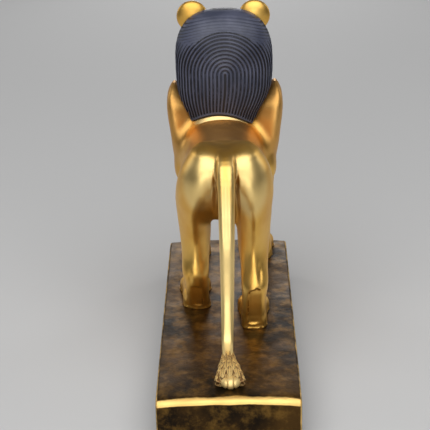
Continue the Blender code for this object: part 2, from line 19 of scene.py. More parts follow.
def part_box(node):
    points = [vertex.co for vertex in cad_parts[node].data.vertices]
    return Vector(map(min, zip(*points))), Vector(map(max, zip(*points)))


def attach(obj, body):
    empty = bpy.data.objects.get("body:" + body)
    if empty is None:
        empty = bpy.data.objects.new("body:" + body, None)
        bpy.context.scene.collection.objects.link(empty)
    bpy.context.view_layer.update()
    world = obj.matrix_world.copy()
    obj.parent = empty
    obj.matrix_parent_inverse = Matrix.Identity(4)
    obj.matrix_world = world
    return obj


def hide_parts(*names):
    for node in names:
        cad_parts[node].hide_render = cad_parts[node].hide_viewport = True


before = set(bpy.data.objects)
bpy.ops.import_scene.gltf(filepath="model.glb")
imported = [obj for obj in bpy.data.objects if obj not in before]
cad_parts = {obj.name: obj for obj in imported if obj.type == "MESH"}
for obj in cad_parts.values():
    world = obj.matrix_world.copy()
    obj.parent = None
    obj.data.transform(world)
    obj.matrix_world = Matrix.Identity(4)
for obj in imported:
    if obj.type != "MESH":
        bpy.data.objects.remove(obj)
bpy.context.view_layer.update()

Points = np.ndarray
Values = np.ndarray
Field = Callable[[Points], Values]
Triple = tuple[float, float, float]
Oval = tuple[Triple, Triple]
Rows = tuple[tuple[float, ...], ...]
Colour = tuple[float, float, float, float]
Spots = tuple[tuple[Triple, Triple, float], ...]
Socket = bpy.types.NodeSocket

log = logging.getLogger("lioness")

# The figure's height from the plinth's top to her ears, in figure units
FIGURE_HEIGHT = 175.0
# The step by which a field's slope is read, in figure units
PROBE = 0.04


# Fields and the ways they are joined


def through(stations: Rows, at: Values) -> Values:
    """Values on smooth curves through rows of (place, value, ...).

    Between two rows the curve is a cubic that leaves each with the mean slope there.

    Args:
        stations: the rows, with rising places.
        at: the places to read, held between the first and the last row.

    Returns:
        One row of values for each place.
    """
    rows = np.array(stations)
    places, values = rows[:, 0], rows[:, 1:]
    slopes = np.gradient(values, places, axis=0)
    at = np.clip(at, places[0], places[-1])
    row = np.clip(np.searchsorted(places, at) - 1, 0, len(places) - 2)
    step = (places[row + 1] - places[row])[:, None]
    share = (at - places[row])[:, None] / step
    rest = 1 - share
    return (
        (1 + 2 * share) * rest**2 * values[row]
        + share * rest**2 * step * slopes[row]
        + share**2 * (3 - 2 * share) * values[row + 1]
        - share**2 * rest * step * slopes[row + 1]
    )


def blend(first: Values, second: Values, reach: float) -> Values:
    """Union of two fields: the lesser one, less a rounding where they nearly agree."""
    near = np.maximum(reach - np.abs(first - second), 0)
    return np.minimum(first, second) - near**2 / (4 * reach)


def carve(body: Values, cutter: Values, reach: float) -> Values:
    """A body's field with a cutter taken out of it, its lips rounded."""
    return -blend(-body, cutter, reach)


def ridge(across: Values, half_width: float) -> Values:
    """A smooth bump: 1 where `across` is zero, nothing past the half width."""
    return np.clip(1 - (across / half_width) ** 2, 0, 1) ** 2


def score(body: Values, across: Values, half_width: float, depth: Values | float) -> Values:
    """A body's field with a rounded groove cut along the line where `across` is zero."""
    return body + depth * ridge(across, half_width)


def rise(values: Values, start: float, stop: float) -> Values:
    """A smooth step from 0 at `start` to 1 at `stop`: 3 s squared less 2 s cubed."""
    share = np.clip((values - start) / (stop - start), 0, 1)
    return share * share * (3 - 2 * share)


def ellipsoid(points: Points, centre: Triple, radii: Triple) -> Values:
    """Field of an ellipsoid with its axes along X, Y and Z.

    With s for the distance from the centre as a share of the radii, it is s (s - 1) over
    the length of the offset divided by the squared radii.

    Args:
        points: where it is read.
        centre: its centre.
        radii: its three radii.

    Returns:
        The field's values.
    """
    offset = points - np.array(centre)
    sizes = np.array(radii)
    scaled = np.linalg.norm(offset / sizes, axis=1)
    gradient = np.linalg.norm(offset / sizes**2, axis=1) + 1e-6
    return scaled * (scaled - 1) / gradient


def capped(side: Values, along: Values, start: float, stop: float) -> Values:
    """A field that goes on along one axis, closed by flat ends.

    Args:
        side: the field that goes on.
        along: the places along the axis.
        start: the lower end.
        stop: the upper end.

    Returns:
        Past the ends the distance to the closed form, and between them the greater of
        the field and the way to the nearer end.
    """
    past = np.maximum(start - along, along - stop)
    outside = np.hypot(np.maximum(side, 0), past)
    return np.where(past > 0, outside, np.maximum(side, past))


def section(
    across: Values, up: Values, half_width: Values, half_height: Values, power: Values | float = 2.0
) -> Values:
    """Field of an oval: a circle at power 2, squarer above that."""
    ratio = (np.abs(across / half_width) ** power + np.abs(up / half_height) ** power) ** (1 / power)
    return (ratio - 1) * np.minimum(half_width, half_height)


def tube(points: Points, stations: Rows, power: float = 2.0) -> Values:
    """Field of a tube through rows of (X, Y, height, radius).

    Args:
        points: where the field is read.
        stations: the rows, joined by a smooth curve that is cut into short runs.
        power: 2 for a round tube, and more for one with a flattened back and sides.

    Returns:
        The distance from the nearest run, less the radius there.
    """
    steps = np.arange(len(stations), dtype=float)
    numbered = np.column_stack([steps, stations])
    dense = through(numbered, np.linspace(0, steps[-1], 4 * len(stations)))
    field = np.full(len(points), np.inf)
    for start, stop in zip(dense[:-1], dense[1:]):
        run = stop[:3] - start[:3]
        offset = points - start[:3]
        share = np.clip(offset @ run / (run @ run), 0, 1)
        radius = start[3] + share * (stop[3] - start[3])
        off = offset - share[:, None] * run
        sideways, backwards = np.abs(off[:, 0]), np.hypot(off[:, 1], off[:, 2])
        distance = (sideways**power + backwards**power + 1e-12) ** (1 / power)
        field = np.minimum(field, distance - radius)
    return field


def cord(phase: Values) -> Values:
    """Grooves between round cords: 1 at each whole number, 0 half way on."""
    return (0.5 + 0.5 * np.cos(2 * np.pi * phase)) ** 1.7


def mirrored(points: Points) -> Points:
    """The points with their right-hand side folded onto the left.

    Args:
        points: the points.

    Returns:
        A copy in which every X is positive.
    """
    folded = points.copy()
    folded[:, 0] = np.abs(points[:, 0])
    return folded


# From a field to a mesh


def sample(field: Field, low: Points, high: Points, cell: float) -> Values:
    """Values of a field on a grid, worked out only in the blocks near its skin.

    Args:
        field: the field.
        low: lowest corner of the grid.
        high: highest corner of the grid.
        cell: distance between two nodes.

    Returns:
        The values as a block of three axes.
    """
    block, margin = 4, 2.2
    blocks = np.ceil((high - low) / (cell * block)).astype(int)
    centres = [low[k] + cell * (block * np.arange(blocks[k]) + (block - 1) / 2) for k in range(3)]
    coarse_points = np.stack(np.meshgrid(*centres, indexing="ij"), -1).reshape(-1, 3)
    coarse = field(coarse_points).reshape(blocks)
    near = np.abs(coarse) < margin * block * cell
    for axis in range(3):
        coarse = np.repeat(coarse, block, axis)
        near = np.repeat(near, block, axis)
    index = np.argwhere(near)
    coarse[near] = field(low + cell * index)
    return coarse


def corners(inside: Values) -> dict[tuple[int, int, int], Values]:
    """The eight corners of every grid cell, as views keyed by their steps in X, Y, Z."""
    steps = (slice(None, -1), slice(1, None))
    return {key: inside[tuple(steps[step] for step in key)] for key in np.ndindex(2, 2, 2)}


def fill_touching(inside: Values) -> Values:
    """Fill nodes until no two inside corners of a cell meet only across its diagonal.

    Without this a skin can touch itself in a crevice narrower than a cell.

    Args:
        inside: True at each grid node that is inside the field. It is changed in place.

    Returns:
        The same block.
    """
    while True:
        before = np.count_nonzero(inside)
        for axis in range(3):
            plane = np.moveaxis(inside, axis, 2)
            a, b, c, d = plane[:-1, :-1], plane[1:, :-1], plane[1:, 1:], plane[:-1, 1:]
            b |= a & c & ~b & ~d
            a |= b & d & ~a & ~c
        corner = corners(inside)
        for i, j in ((0, 0), (0, 1), (1, 0), (1, 1)):
            start, stop = corner[i, j, 0], corner[1 - i, 1 - j, 1]
            rest = [corner[key] for key in corner if key not in ((i, j, 0), (1 - i, 1 - j, 1))]
            rest[0][:] |= start & stop & ~np.logical_or.reduce(rest)
            start |= ~start & ~stop & np.logical_and.reduce(rest)
        if np.count_nonzero(inside) == before:
            return inside


def skin(field: Field, low: Triple, high: Triple, cell: float) -> tuple[Points, Values]:
    """Quads where a field is zero: a corner in each grid cell that the skin crosses.

    Each grid edge that the skin cuts gives one quad, whose corners lie in the four
    cells round that edge, each at the mean of the cuts on its cell's own edges.

    Args:
        field: the field.
        low: lowest corner of the grid, outside the piece.
        high: highest corner of the grid, outside the piece.
        cell: distance between two grid nodes.

    Returns:
        The corners' places, and four corner numbers for each quad.
    """
    values = sample(field, np.array(low), np.array(high), cell)
    filled = fill_touching(values < 0)
    values = np.where(filled & (values >= 0), -0.1 * cell, values)
    strides = np.array((values.shape[1] * values.shape[2], values.shape[2], 1))
    quads, owners, cuts = [], [], []
    for axis in range(3):
        first = np.moveaxis(values, axis, 0)[:-1]
        second = np.moveaxis(values, axis, 0)[1:]
        crossed = np.argwhere((first < 0) != (second < 0))
        near = first[tuple(crossed.T)]
        far = second[tuple(crossed.T)]
        others = [k for k in range(3) if k != axis]
        node = np.empty_like(crossed)
        node[:, axis] = crossed[:, 0]
        node[:, others[0]] = crossed[:, 1]
        node[:, others[1]] = crossed[:, 2]
        cut = node.astype(float)
        cut[:, axis] += near / (near - far)
        own = node @ strides
        back_one, back_two = strides[others[0]], strides[others[1]]
        ring = np.stack([own, own - back_one, own - back_one - back_two, own - back_two], 1)
        turned = (near > 0) if axis == 1 else (near < 0)
        ring[~turned] = ring[~turned][:, ::-1]
        quads.append(ring)
        owners.append(ring.ravel())
        cuts.append(np.repeat(cut, 4, axis=0))
    corner = np.unique(np.concatenate(owners), return_inverse=True)[1]
    count = np.bincount(corner)
    every_cut = np.concatenate(cuts)
    places = np.stack([np.bincount(corner, every_cut[:, k]) / count for k in range(3)], 1)
    return np.array(low) + cell * places, corner.reshape(-1, 4)


def slope(field: Field, places: Points, step: float) -> tuple[Values, Points]:
    """A field and its slope along X, Y and Z, by stepping a little way each way.

    Args:
        field: the field.
        places: where it is read.
        step: the length of the step.

    Returns:
        The field's values, and a row of three slopes for each place.
    """
    here = field(places)
    return here, np.stack([(field(places + step * way) - here) / step for way in np.eye(3)], 1)


def settle(field: Field, places: Points, cell: float) -> Points:
    """Move places onto a field's skin, by its value over its slope, twice.

    Args:
        field: the field.
        places: corners that lie near the skin.
        cell: the grid's cell, which holds the moves short.

    Returns:
        The moved places.
    """
    least_steepness, longest_move = 0.2, 0.45 * cell
    for _ in range(2):
        here, lean = slope(field, places, PROBE)
        steep = np.maximum((lean**2).sum(1), least_steepness)
        move = (here / steep)[:, None] * lean
        length = np.linalg.norm(move, axis=1)[:, None] + 1e-9
        places = places - move * np.minimum(1, longest_move / length)
    return places


def hollowness(field: Field, places: Points, reaches: tuple[float, ...]) -> list[Values]:
    """How deep each place lies in a hollow: 0 on a flat or round skin, 1 in a crease.

    The field is read at each reach out from the skin. In the open it has grown by all
    of the reach there, and in a crease the far wall keeps it smaller.

    Args:
        field: the field.
        places: places on its skin.
        reaches: how far out it is read, for small hollows and then for wide ones.

    Returns:
        One value for each place, for each of the reaches.
    """
    here, lean = slope(field, places, PROBE)
    steep = np.linalg.norm(lean, axis=1) + 1e-9
    out = lean / steep[:, None]
    grown = [(field(places + reach * out) - here) / (reach * steep) for reach in reaches]
    return [np.clip(1 - share, 0, 1) for share in grown]


# The gilded body


@dataclass(frozen=True)
class Trunk:
    """The trunk: upright ovals strung along Y, with a round chest and two haunches."""

    # Y, X, half width, height of the back, height of the belly
    stations: Rows = (
        (-92.0, 1.0, 14.0, 98.0, 62.0),
        (-84.0, 1.6, 23.0, 104.0, 52.0),
        (-70.0, 2.2, 27.5, 105.2, 49.0),
        (-56.0, 2.3, 27.0, 104.9, 52.0),
        (-38.0, 1.2, 25.0, 104.4, 59.0),
        (-20.0, 0.3, 24.5, 106.0, 62.0),
        (-2.0, -0.3, 26.0, 108.5, 60.0),
        (12.0, -0.3, 23.0, 108.0, 68.0),
        (20.0, -0.3, 14.5, 106.0, 82.0),
        (26.0, -0.3, 5.0, 101.5, 89.0),
    )
    haunch: Triple = (12.6, 5.5, 90.5)
    haunch_radii: Triple = (10.2, 18.8, 19.5)
    chest: Triple = (0.0, -80.0, 84.0)
    chest_radii: Triple = (22.0, 15.5, 27.0)
    squareness: float = 2.2
    chest_reach: float = 8.0
    haunch_reach: float = 7.0

    def field(self, points: Points) -> Values:
        """Field of the trunk.

        Args:
            points: where it is read.

        Returns:
            The field's values.
        """
        across, along, up = points.T
        middle, half_width, back, belly = through(self.stations, along).T
        half_height = (back - belly) / 2
        side = section(across - middle, up - (back + belly) / 2, half_width, half_height, self.squareness)
        rear = capped(side, along, self.stations[0][0], self.stations[-1][0])
        body = blend(rear, ellipsoid(points, self.chest, self.chest_radii), self.chest_reach)
        haunches = ellipsoid(mirrored(points), self.haunch, self.haunch_radii)
        return blend(body, haunches, self.haunch_reach)


@dataclass(frozen=True)
class Paw:
    """A paw from its heel forward, with three grooves between its four toes."""

    length: float
    # Share of the length, half width, height
    stations: Rows = (
        (-0.01, 5.6, 7.0),
        (0.10, 7.0, 10.5),
        (0.35, 7.4, 12.0),
        (0.62, 8.4, 11.5),
        (0.84, 8.9, 9.5),
        (0.96, 7.6, 6.5),
    )
    squareness: float = 2.4
    # The height of its middle as a share of its own height
    middle: float = 0.34
    # The round tip: its share of the length, half width, half height, height of its middle
    tip_share: float = 0.2
    tip: Triple = (8.2, 6.2, 3.2)
    tip_reach: float = 2.0
    # The shares of its length where the toes begin, stand out in full and draw together
    toes_start: float = 0.55
    toes_rise: float = 0.16
    toes_close: float = 0.8
    toes_closing: float = 0.25
    toes_narrowing: float = 0.22
    groove_half_width: float = 1.1
    groove_depth: float = 1.5
    knuckle_share: float = 0.76
    knuckle_half_width: float = 4.5
    knuckle_height: float = 0.5

    def field(self, points: Points, side: int, out: float, heel: float) -> Values:
        """Field of the paw.

        Args:
            points: where it is read.
            side: 1 on her left and -1 on her right.
            out: how far the paw's middle is from the middle plane.
            heel: the Y of its heel.

        Returns:
            The field's values.
        """
        across, along, up = points.T
        forward = (heel - along) / self.length
        half_width, height = through(self.stations, forward).T
        beside = across * side - out
        half_height = (1 - self.middle) * height
        oval = section(beside, up - self.middle * height, half_width, half_height, self.squareness)
        tip_width, tip_height, tip_middle = self.tip
        tip_centre = (side * out, heel - (1 - self.tip_share) * self.length, tip_middle)
        tip = ellipsoid(points, tip_centre, (tip_width, self.tip_share * self.length, tip_height))
        body = capped(oval, forward * self.length, 0.0, self.stations[-1][0] * self.length)
        body = blend(body, tip, self.tip_reach)
        toes = rise(forward, self.toes_start, self.toes_start + self.toes_rise)
        closed = np.clip(forward - self.toes_close, 0, self.toes_closing)
        bowed = beside / (1 - self.toes_narrowing * closed / self.toes_closing)
        depth = toes * self.groove_depth
        for share in (-0.5, 0.0, 0.5):
            body = score(body, bowed - share * half_width, self.groove_half_width, depth)
        knuckle = ridge((forward - self.knuckle_share) * self.length, self.knuckle_half_width) * toes
        return body - self.knuckle_height * knuckle


@dataclass(frozen=True)
class HindLeg:
    """A hind leg: level ovals that swing at the hip, a hock and a panelled shank."""

    # Height, X, Y, half width, half depth of a leg that stands square
    stations: Rows = (
        (-1.0, 14.8, 18.0, 7.2, 7.6),
        (10.0, 15.4, 22.0, 6.9, 6.5),
        (20.0, 15.8, 23.0, 7.2, 7.4),
        (28.0, 16.2, 21.0, 8.1, 9.4),
        (37.0, 16.0, 13.0, 8.4, 11.5),
        (47.0, 16.0, 5.5, 9.3, 15.0),
        (60.0, 16.3, 2.0, 10.2, 19.5),
        (74.0, 16.4, 4.0, 10.6, 21.0),
        (87.0, 15.6, 7.0, 10.5, 18.8),
        (97.0, 14.2, 7.5, 8.8, 14.5),
        (105.0, 12.0, 6.0, 5.0, 8.0),
    )
    hip_height: float = 100.0
    # The share by which its rear narrows, and the heights over which that comes and goes
    keel: float = 0.30
    keel_comes: tuple[float, float] = (26.0, 36.0)
    keel_goes: tuple[float, float] = (76.0, 94.0)
    panel_foot: float = 3.5
    panel_arch: float = 0.16
    panel_lip: float = 0.35
    tendon_out: float = 3.3
    tendon_rise: float = 7.0
    tendon_half_width: float = 1.8
    tendon_depth: float = 0.7
    paw: Paw = Paw(34.0)
    paw_reach: float = 3.0

    def field(self, points: Points, side: int, stride: "HindStride") -> Values:
        """Field of the leg with its paw, the panel down its shank and the tendon's groove.

        Args:
            points: where it is read.
            side: 1 on her left and -1 on her right.
            stride: how this leg stands.

        Returns:
            The field's values.
        """
        across, along, up = points.T
        swing, splay, pivot = stride.swing, stride.splay, self.hip_height
        keel = self.keel * rise(up, *self.keel_comes) * (1 - rise(up, *self.keel_goes))
        oval = swung(points, self.stations, side, swing, splay, pivot, keel)
        out, place, half_depth = through(self.stations, up).T[[0, 1, 3]]
        rear = place - swing * np.clip(1 - up / pivot, 0, 1) + half_depth
        beside = across * side - out - splay - stride.panel_out
        arch = stride.panel_top - self.panel_arch * beside**2
        panel = np.maximum(rear - stride.panel_depth - along, np.abs(beside) - stride.panel_half_width)
        panel = np.maximum(panel, np.maximum(up - arch, self.panel_foot - up))
        oval = carve(oval, panel, self.panel_lip)
        groove = ridge(up - stride.panel_top - self.tendon_rise, self.tendon_rise) * (along > place - swing)
        tendon = beside + stride.panel_out - self.tendon_out
        oval = score(oval, tendon, self.tendon_half_width, self.tendon_depth * groove)
        foot_out = self.stations[1][1] + splay + stride.toe_out
        return blend(oval, self.paw.field(points, side, foot_out, stride.heel), self.paw_reach)


@dataclass(frozen=True)
class HindStride:
    """How a hind leg stands: its swing and splay, its heel and the panel on its shank."""

    swing: float
    splay: float
    heel: float
    toe_out: float
    panel_out: float
    panel_top: float
    panel_half_width: float
    panel_depth: float


@dataclass(frozen=True)
class Foreleg:
    """A foreleg with its shoulder, which stands up beside the wig."""

    # Height, X, Y, half width, half depth of a leg that stands square
    stations: Rows = (
        (-1.0, 21.4, -79.0, 7.4, 8.4),
        (8.0, 21.4, -79.0, 7.2, 8.0),
        (18.0, 21.6, -79.0, 7.0, 7.8),
        (31.0, 22.2, -78.5, 7.3, 8.6),
        (46.0, 22.8, -77.0, 7.4, 9.8),
        (60.0, 24.0, -74.5, 7.2, 11.5),
        (71.0, 25.0, -73.0, 7.0, 14.0),
        (84.0, 25.0, -73.5, 8.9, 16.5),
        (96.0, 24.8, -75.0, 10.4, 16.0),
        (106.0, 26.0, -76.0, 10.5, 15.5),
        (114.0, 28.0, -76.5, 8.7, 14.0),
        (119.0, 30.7, -77.0, 5.2, 10.6),
        (122.0, 31.8, -77.5, 2.6, 7.0),
        (124.0, 32.2, -78.0, 0.8, 3.4),
    )
    shoulder_height: float = 75.0
    shoulder_rise: float = 20.0
    squareness: float = 3.0
    shear: float = 0.5
    elbow: Triple = (28.4, -62.0, 72.5)
    elbow_radii: Triple = (3.9, 8.0, 9.0)
    elbow_reach: float = 2.5
    paw: Paw = Paw(29.0)
    paw_reach: float = 3.0

    def field(self, points: Points, side: int, swing: float) -> Values:
        """Field of the leg with its paw and its shoulder.

        Up the shoulder the ovals grow squarer, and are sheared: their outer side is moved
        forward and their inner side back, by the shear times the way out.

        Args:
            points: where it is read.
            side: 1 on her left and -1 on her right.
            swing: how far the foot is moved forward.

        Returns:
            The field's values.
        """
        upper = rise(points[:, 2], self.shoulder_height, self.shoulder_height + self.shoulder_rise)
        power = 2 + (self.squareness - 2) * upper
        turned = points.copy()
        out = through(self.stations, points[:, 2])[:, 0]
        turned[:, 1] -= self.shear * upper * (side * points[:, 0] - out)
        oval = swung(turned, self.stations, side, swing, 0.0, self.shoulder_height, power=power)
        _, foot_out, foot_place, _, foot_depth = self.stations[0]
        heel = foot_place - swing + foot_depth
        oval = blend(oval, self.paw.field(points, side, foot_out, heel), self.paw_reach)
        elbow = ellipsoid(points, (side * self.elbow[0], *self.elbow[1:]), self.elbow_radii)
        return blend(oval, elbow, self.elbow_reach)


def swung(
    points: Points,
    stations: Rows,
    side: int,
    swing: float,
    splay: float,
    pivot_height: float,
    keel: Values | float = 0.0,
    power: Values | float = 2.0,
) -> Values:
    """Field of a leg of level ovals whose foot is moved forward and out.

    Args:
        points: where it is read.
        stations: rows of height, X, Y, half width and half depth.
        side: 1 on her left and -1 on her right.
        swing: how far the foot is moved forward.
        splay: how far the foot is moved out.
        pivot_height: the height of the joint that it swings at.
        keel: the share by which the ovals narrow towards their rear.
        power: 2 where the ovals are round, and more where they are squarer.

    Returns:
        The field's values.
    """
    across, along, up = points.T
    out, place, half_width, half_depth = through(stations, up).T
    lowered = np.clip(1 - up / pivot_height, 0, 1)
    out = out + splay * np.clip(4 * lowered, 0, 1)
    back = along - place + swing * lowered
    half_width = half_width * (1 - keel * np.clip(back / half_depth, 0, 1) ** 2)
    oval = section(across * side - out, back, half_width, half_depth, power)
    return capped(oval, up, stations[0][0], stations[-1][0])


@dataclass(frozen=True)
class Tail:
    """The tail, which falls down the middle and runs back along the plinth."""

    stations: Rows = (
        (-0.2, 2.0, 103.9, 4.6),
        (-0.3, 16.0, 104.2, 5.0),
        (-0.4, 27.5, 99.8, 5.1),
        (-0.5, 35.0, 86.0, 4.9),
        (-0.4, 42.5, 64.0, 4.4),
        (-0.2, 46.5, 44.0, 4.0),
        (0.0, 51.5, 26.0, 3.7),
        (0.3, 59.0, 11.5, 3.4),
        (0.3, 67.0, 6.4, 3.2),
        (0.0, 75.0, 4.6, 2.6),
    )

    squareness: float = 3.2
    # The channel: its X, half width and depth, and the heights where it comes and goes
    channel: Triple = (-0.1, 2.2, 0.40)
    channel_comes: tuple[float, float] = (56.0, 72.0)
    channel_goes: tuple[float, float] = (-108.0, -98.0)

    def field(self, points: Points) -> Values:
        """Field of the tail, with a flattened back and a faint channel down its upper half.

        Args:
            points: where it is read.

        Returns:
            The field's values.
        """
        across, up = points[:, 0], points[:, 2]
        middle, half_width, depth = self.channel
        depth = depth * rise(up, *self.channel_comes) * rise(-up, *self.channel_goes)
        return score(tube(points, self.stations, self.squareness), across - middle, half_width, depth)


@dataclass(frozen=True)
class Neck:
    """The neck, from the chest up into the head."""

    stations: Rows = (
        (0.0, -79.0, 86.0, 17.0),
        (0.0, -79.5, 108.0, 17.5),
        (0.0, -80.0, 130.0, 18.0),
    )

    def field(self, points: Points) -> Values:
        """Field of the neck."""
        return tube(points, self.stations)


@dataclass(frozen=True)
class Tuft:
    """The tail's tuft: a drop that widens to its end, dressed in rows of pointed locks."""

    # Y, X, half width, height of the top
    stations: Rows = (
        (62.0, 0.3, 3.2, 11.0),
        (67.0, 0.1, 3.6, 9.4),
        (72.0, 0.0, 4.4, 8.3),
        (78.0, -0.3, 5.6, 7.8),
        (84.0, -0.6, 6.8, 7.4),
        (90.0, -0.8, 7.8, 6.8),
        (94.0, -0.9, 7.9, 6.0),
        (97.0, -1.1, 6.0, 4.8),
        (98.5, -1.2, 3.0, 3.4),
    )
    squareness: float = 2.2
    # The height of its middle as a share of its own height
    middle: float = 0.35
    knob: Triple = (-1.2, 96.2, 2.6)
    knob_radii: Triple = (5.4, 4.3, 3.4)
    # The knob's two grooves: how far out, their half width and their depth
    knob_parting: float = 2.0
    knob_groove: float = 0.9
    knob_groove_depth: float = 0.6
    # The rows of locks: Y of the first row's tips, of the last row's, and their number
    tips: Triple = (75.0, 96.0, 4.0)
    locks_round: float = 6.0
    lock_length: float = 17.0
    lock_point: float = 7.0
    lock_depth: float = 1.5
    # The locks' depth on top as a share of that at the sides, and the share that is sunk in
    top_locks: float = 0.55
    lock_seat: float = 0.6
    hairs_round: float = 19.0
    hair_depth: float = 0.42

    def locks(self, turn: Values, along: Values) -> Values:
        """How far the locks stand up, from 0 to 1.

        A lock's tip is a parabola across it. Up to there it swells along its length and
        is round across, and each row starts half a lock beside the one before.

        Args:
            turn: how far round the tuft a place lies, 0 at her left and 1 at her right.
            along: its Y.

        Returns:
            The highest of all rows.
        """
        height = np.zeros(len(along))
        for row, tip in enumerate(np.linspace(self.tips[0], self.tips[1], int(self.tips[2]))):
            place = turn * self.locks_round + 0.5 * (row % 2)
            beside = 2 * (place - np.floor(place)) - 1
            behind = tip - self.lock_point * beside**2 - along
            swell = rise(behind, 0.0, 0.7) * np.clip(1 - behind / self.lock_length, 0, 1)
            height = np.maximum(height, swell * np.sqrt(1 - 0.8 * beside**2))
        return height

    def field(self, points: Points) -> Values:
        """Field of the drop with its locks and fine hairs, and the knob at its end.

        Args:
            points: where it is read.

        Returns:
            The field's values.
        """
        across, along, up = points.T
        middle, half_width, top = through(self.stations, along).T
        beside = across - middle
        half_height = (1 - self.middle) * top
        oval = section(beside, up - self.middle * top, half_width, half_height, self.squareness)
        drop = capped(oval, along, self.stations[0][0], self.stations[-1][0])
        turn = np.arctan2(np.maximum(up, 0) * half_width / top, beside) / np.pi
        hairs = 0.5 + 0.5 * np.cos(2 * np.pi * self.hairs_round * turn)
        depth = self.lock_depth * (self.top_locks + (1 - self.top_locks) * np.cos(np.pi * turn) ** 2)
        drop = drop + depth * (self.lock_seat - self.locks(turn, along)) + self.hair_depth * hairs
        knob = ellipsoid(points, self.knob, self.knob_radii)
        parting = np.abs(across - self.knob[0]) - self.knob_parting
        knob = score(knob, parting, self.knob_groove, self.knob_groove_depth)
        return np.maximum(blend(drop, knob, 0.5), -up)


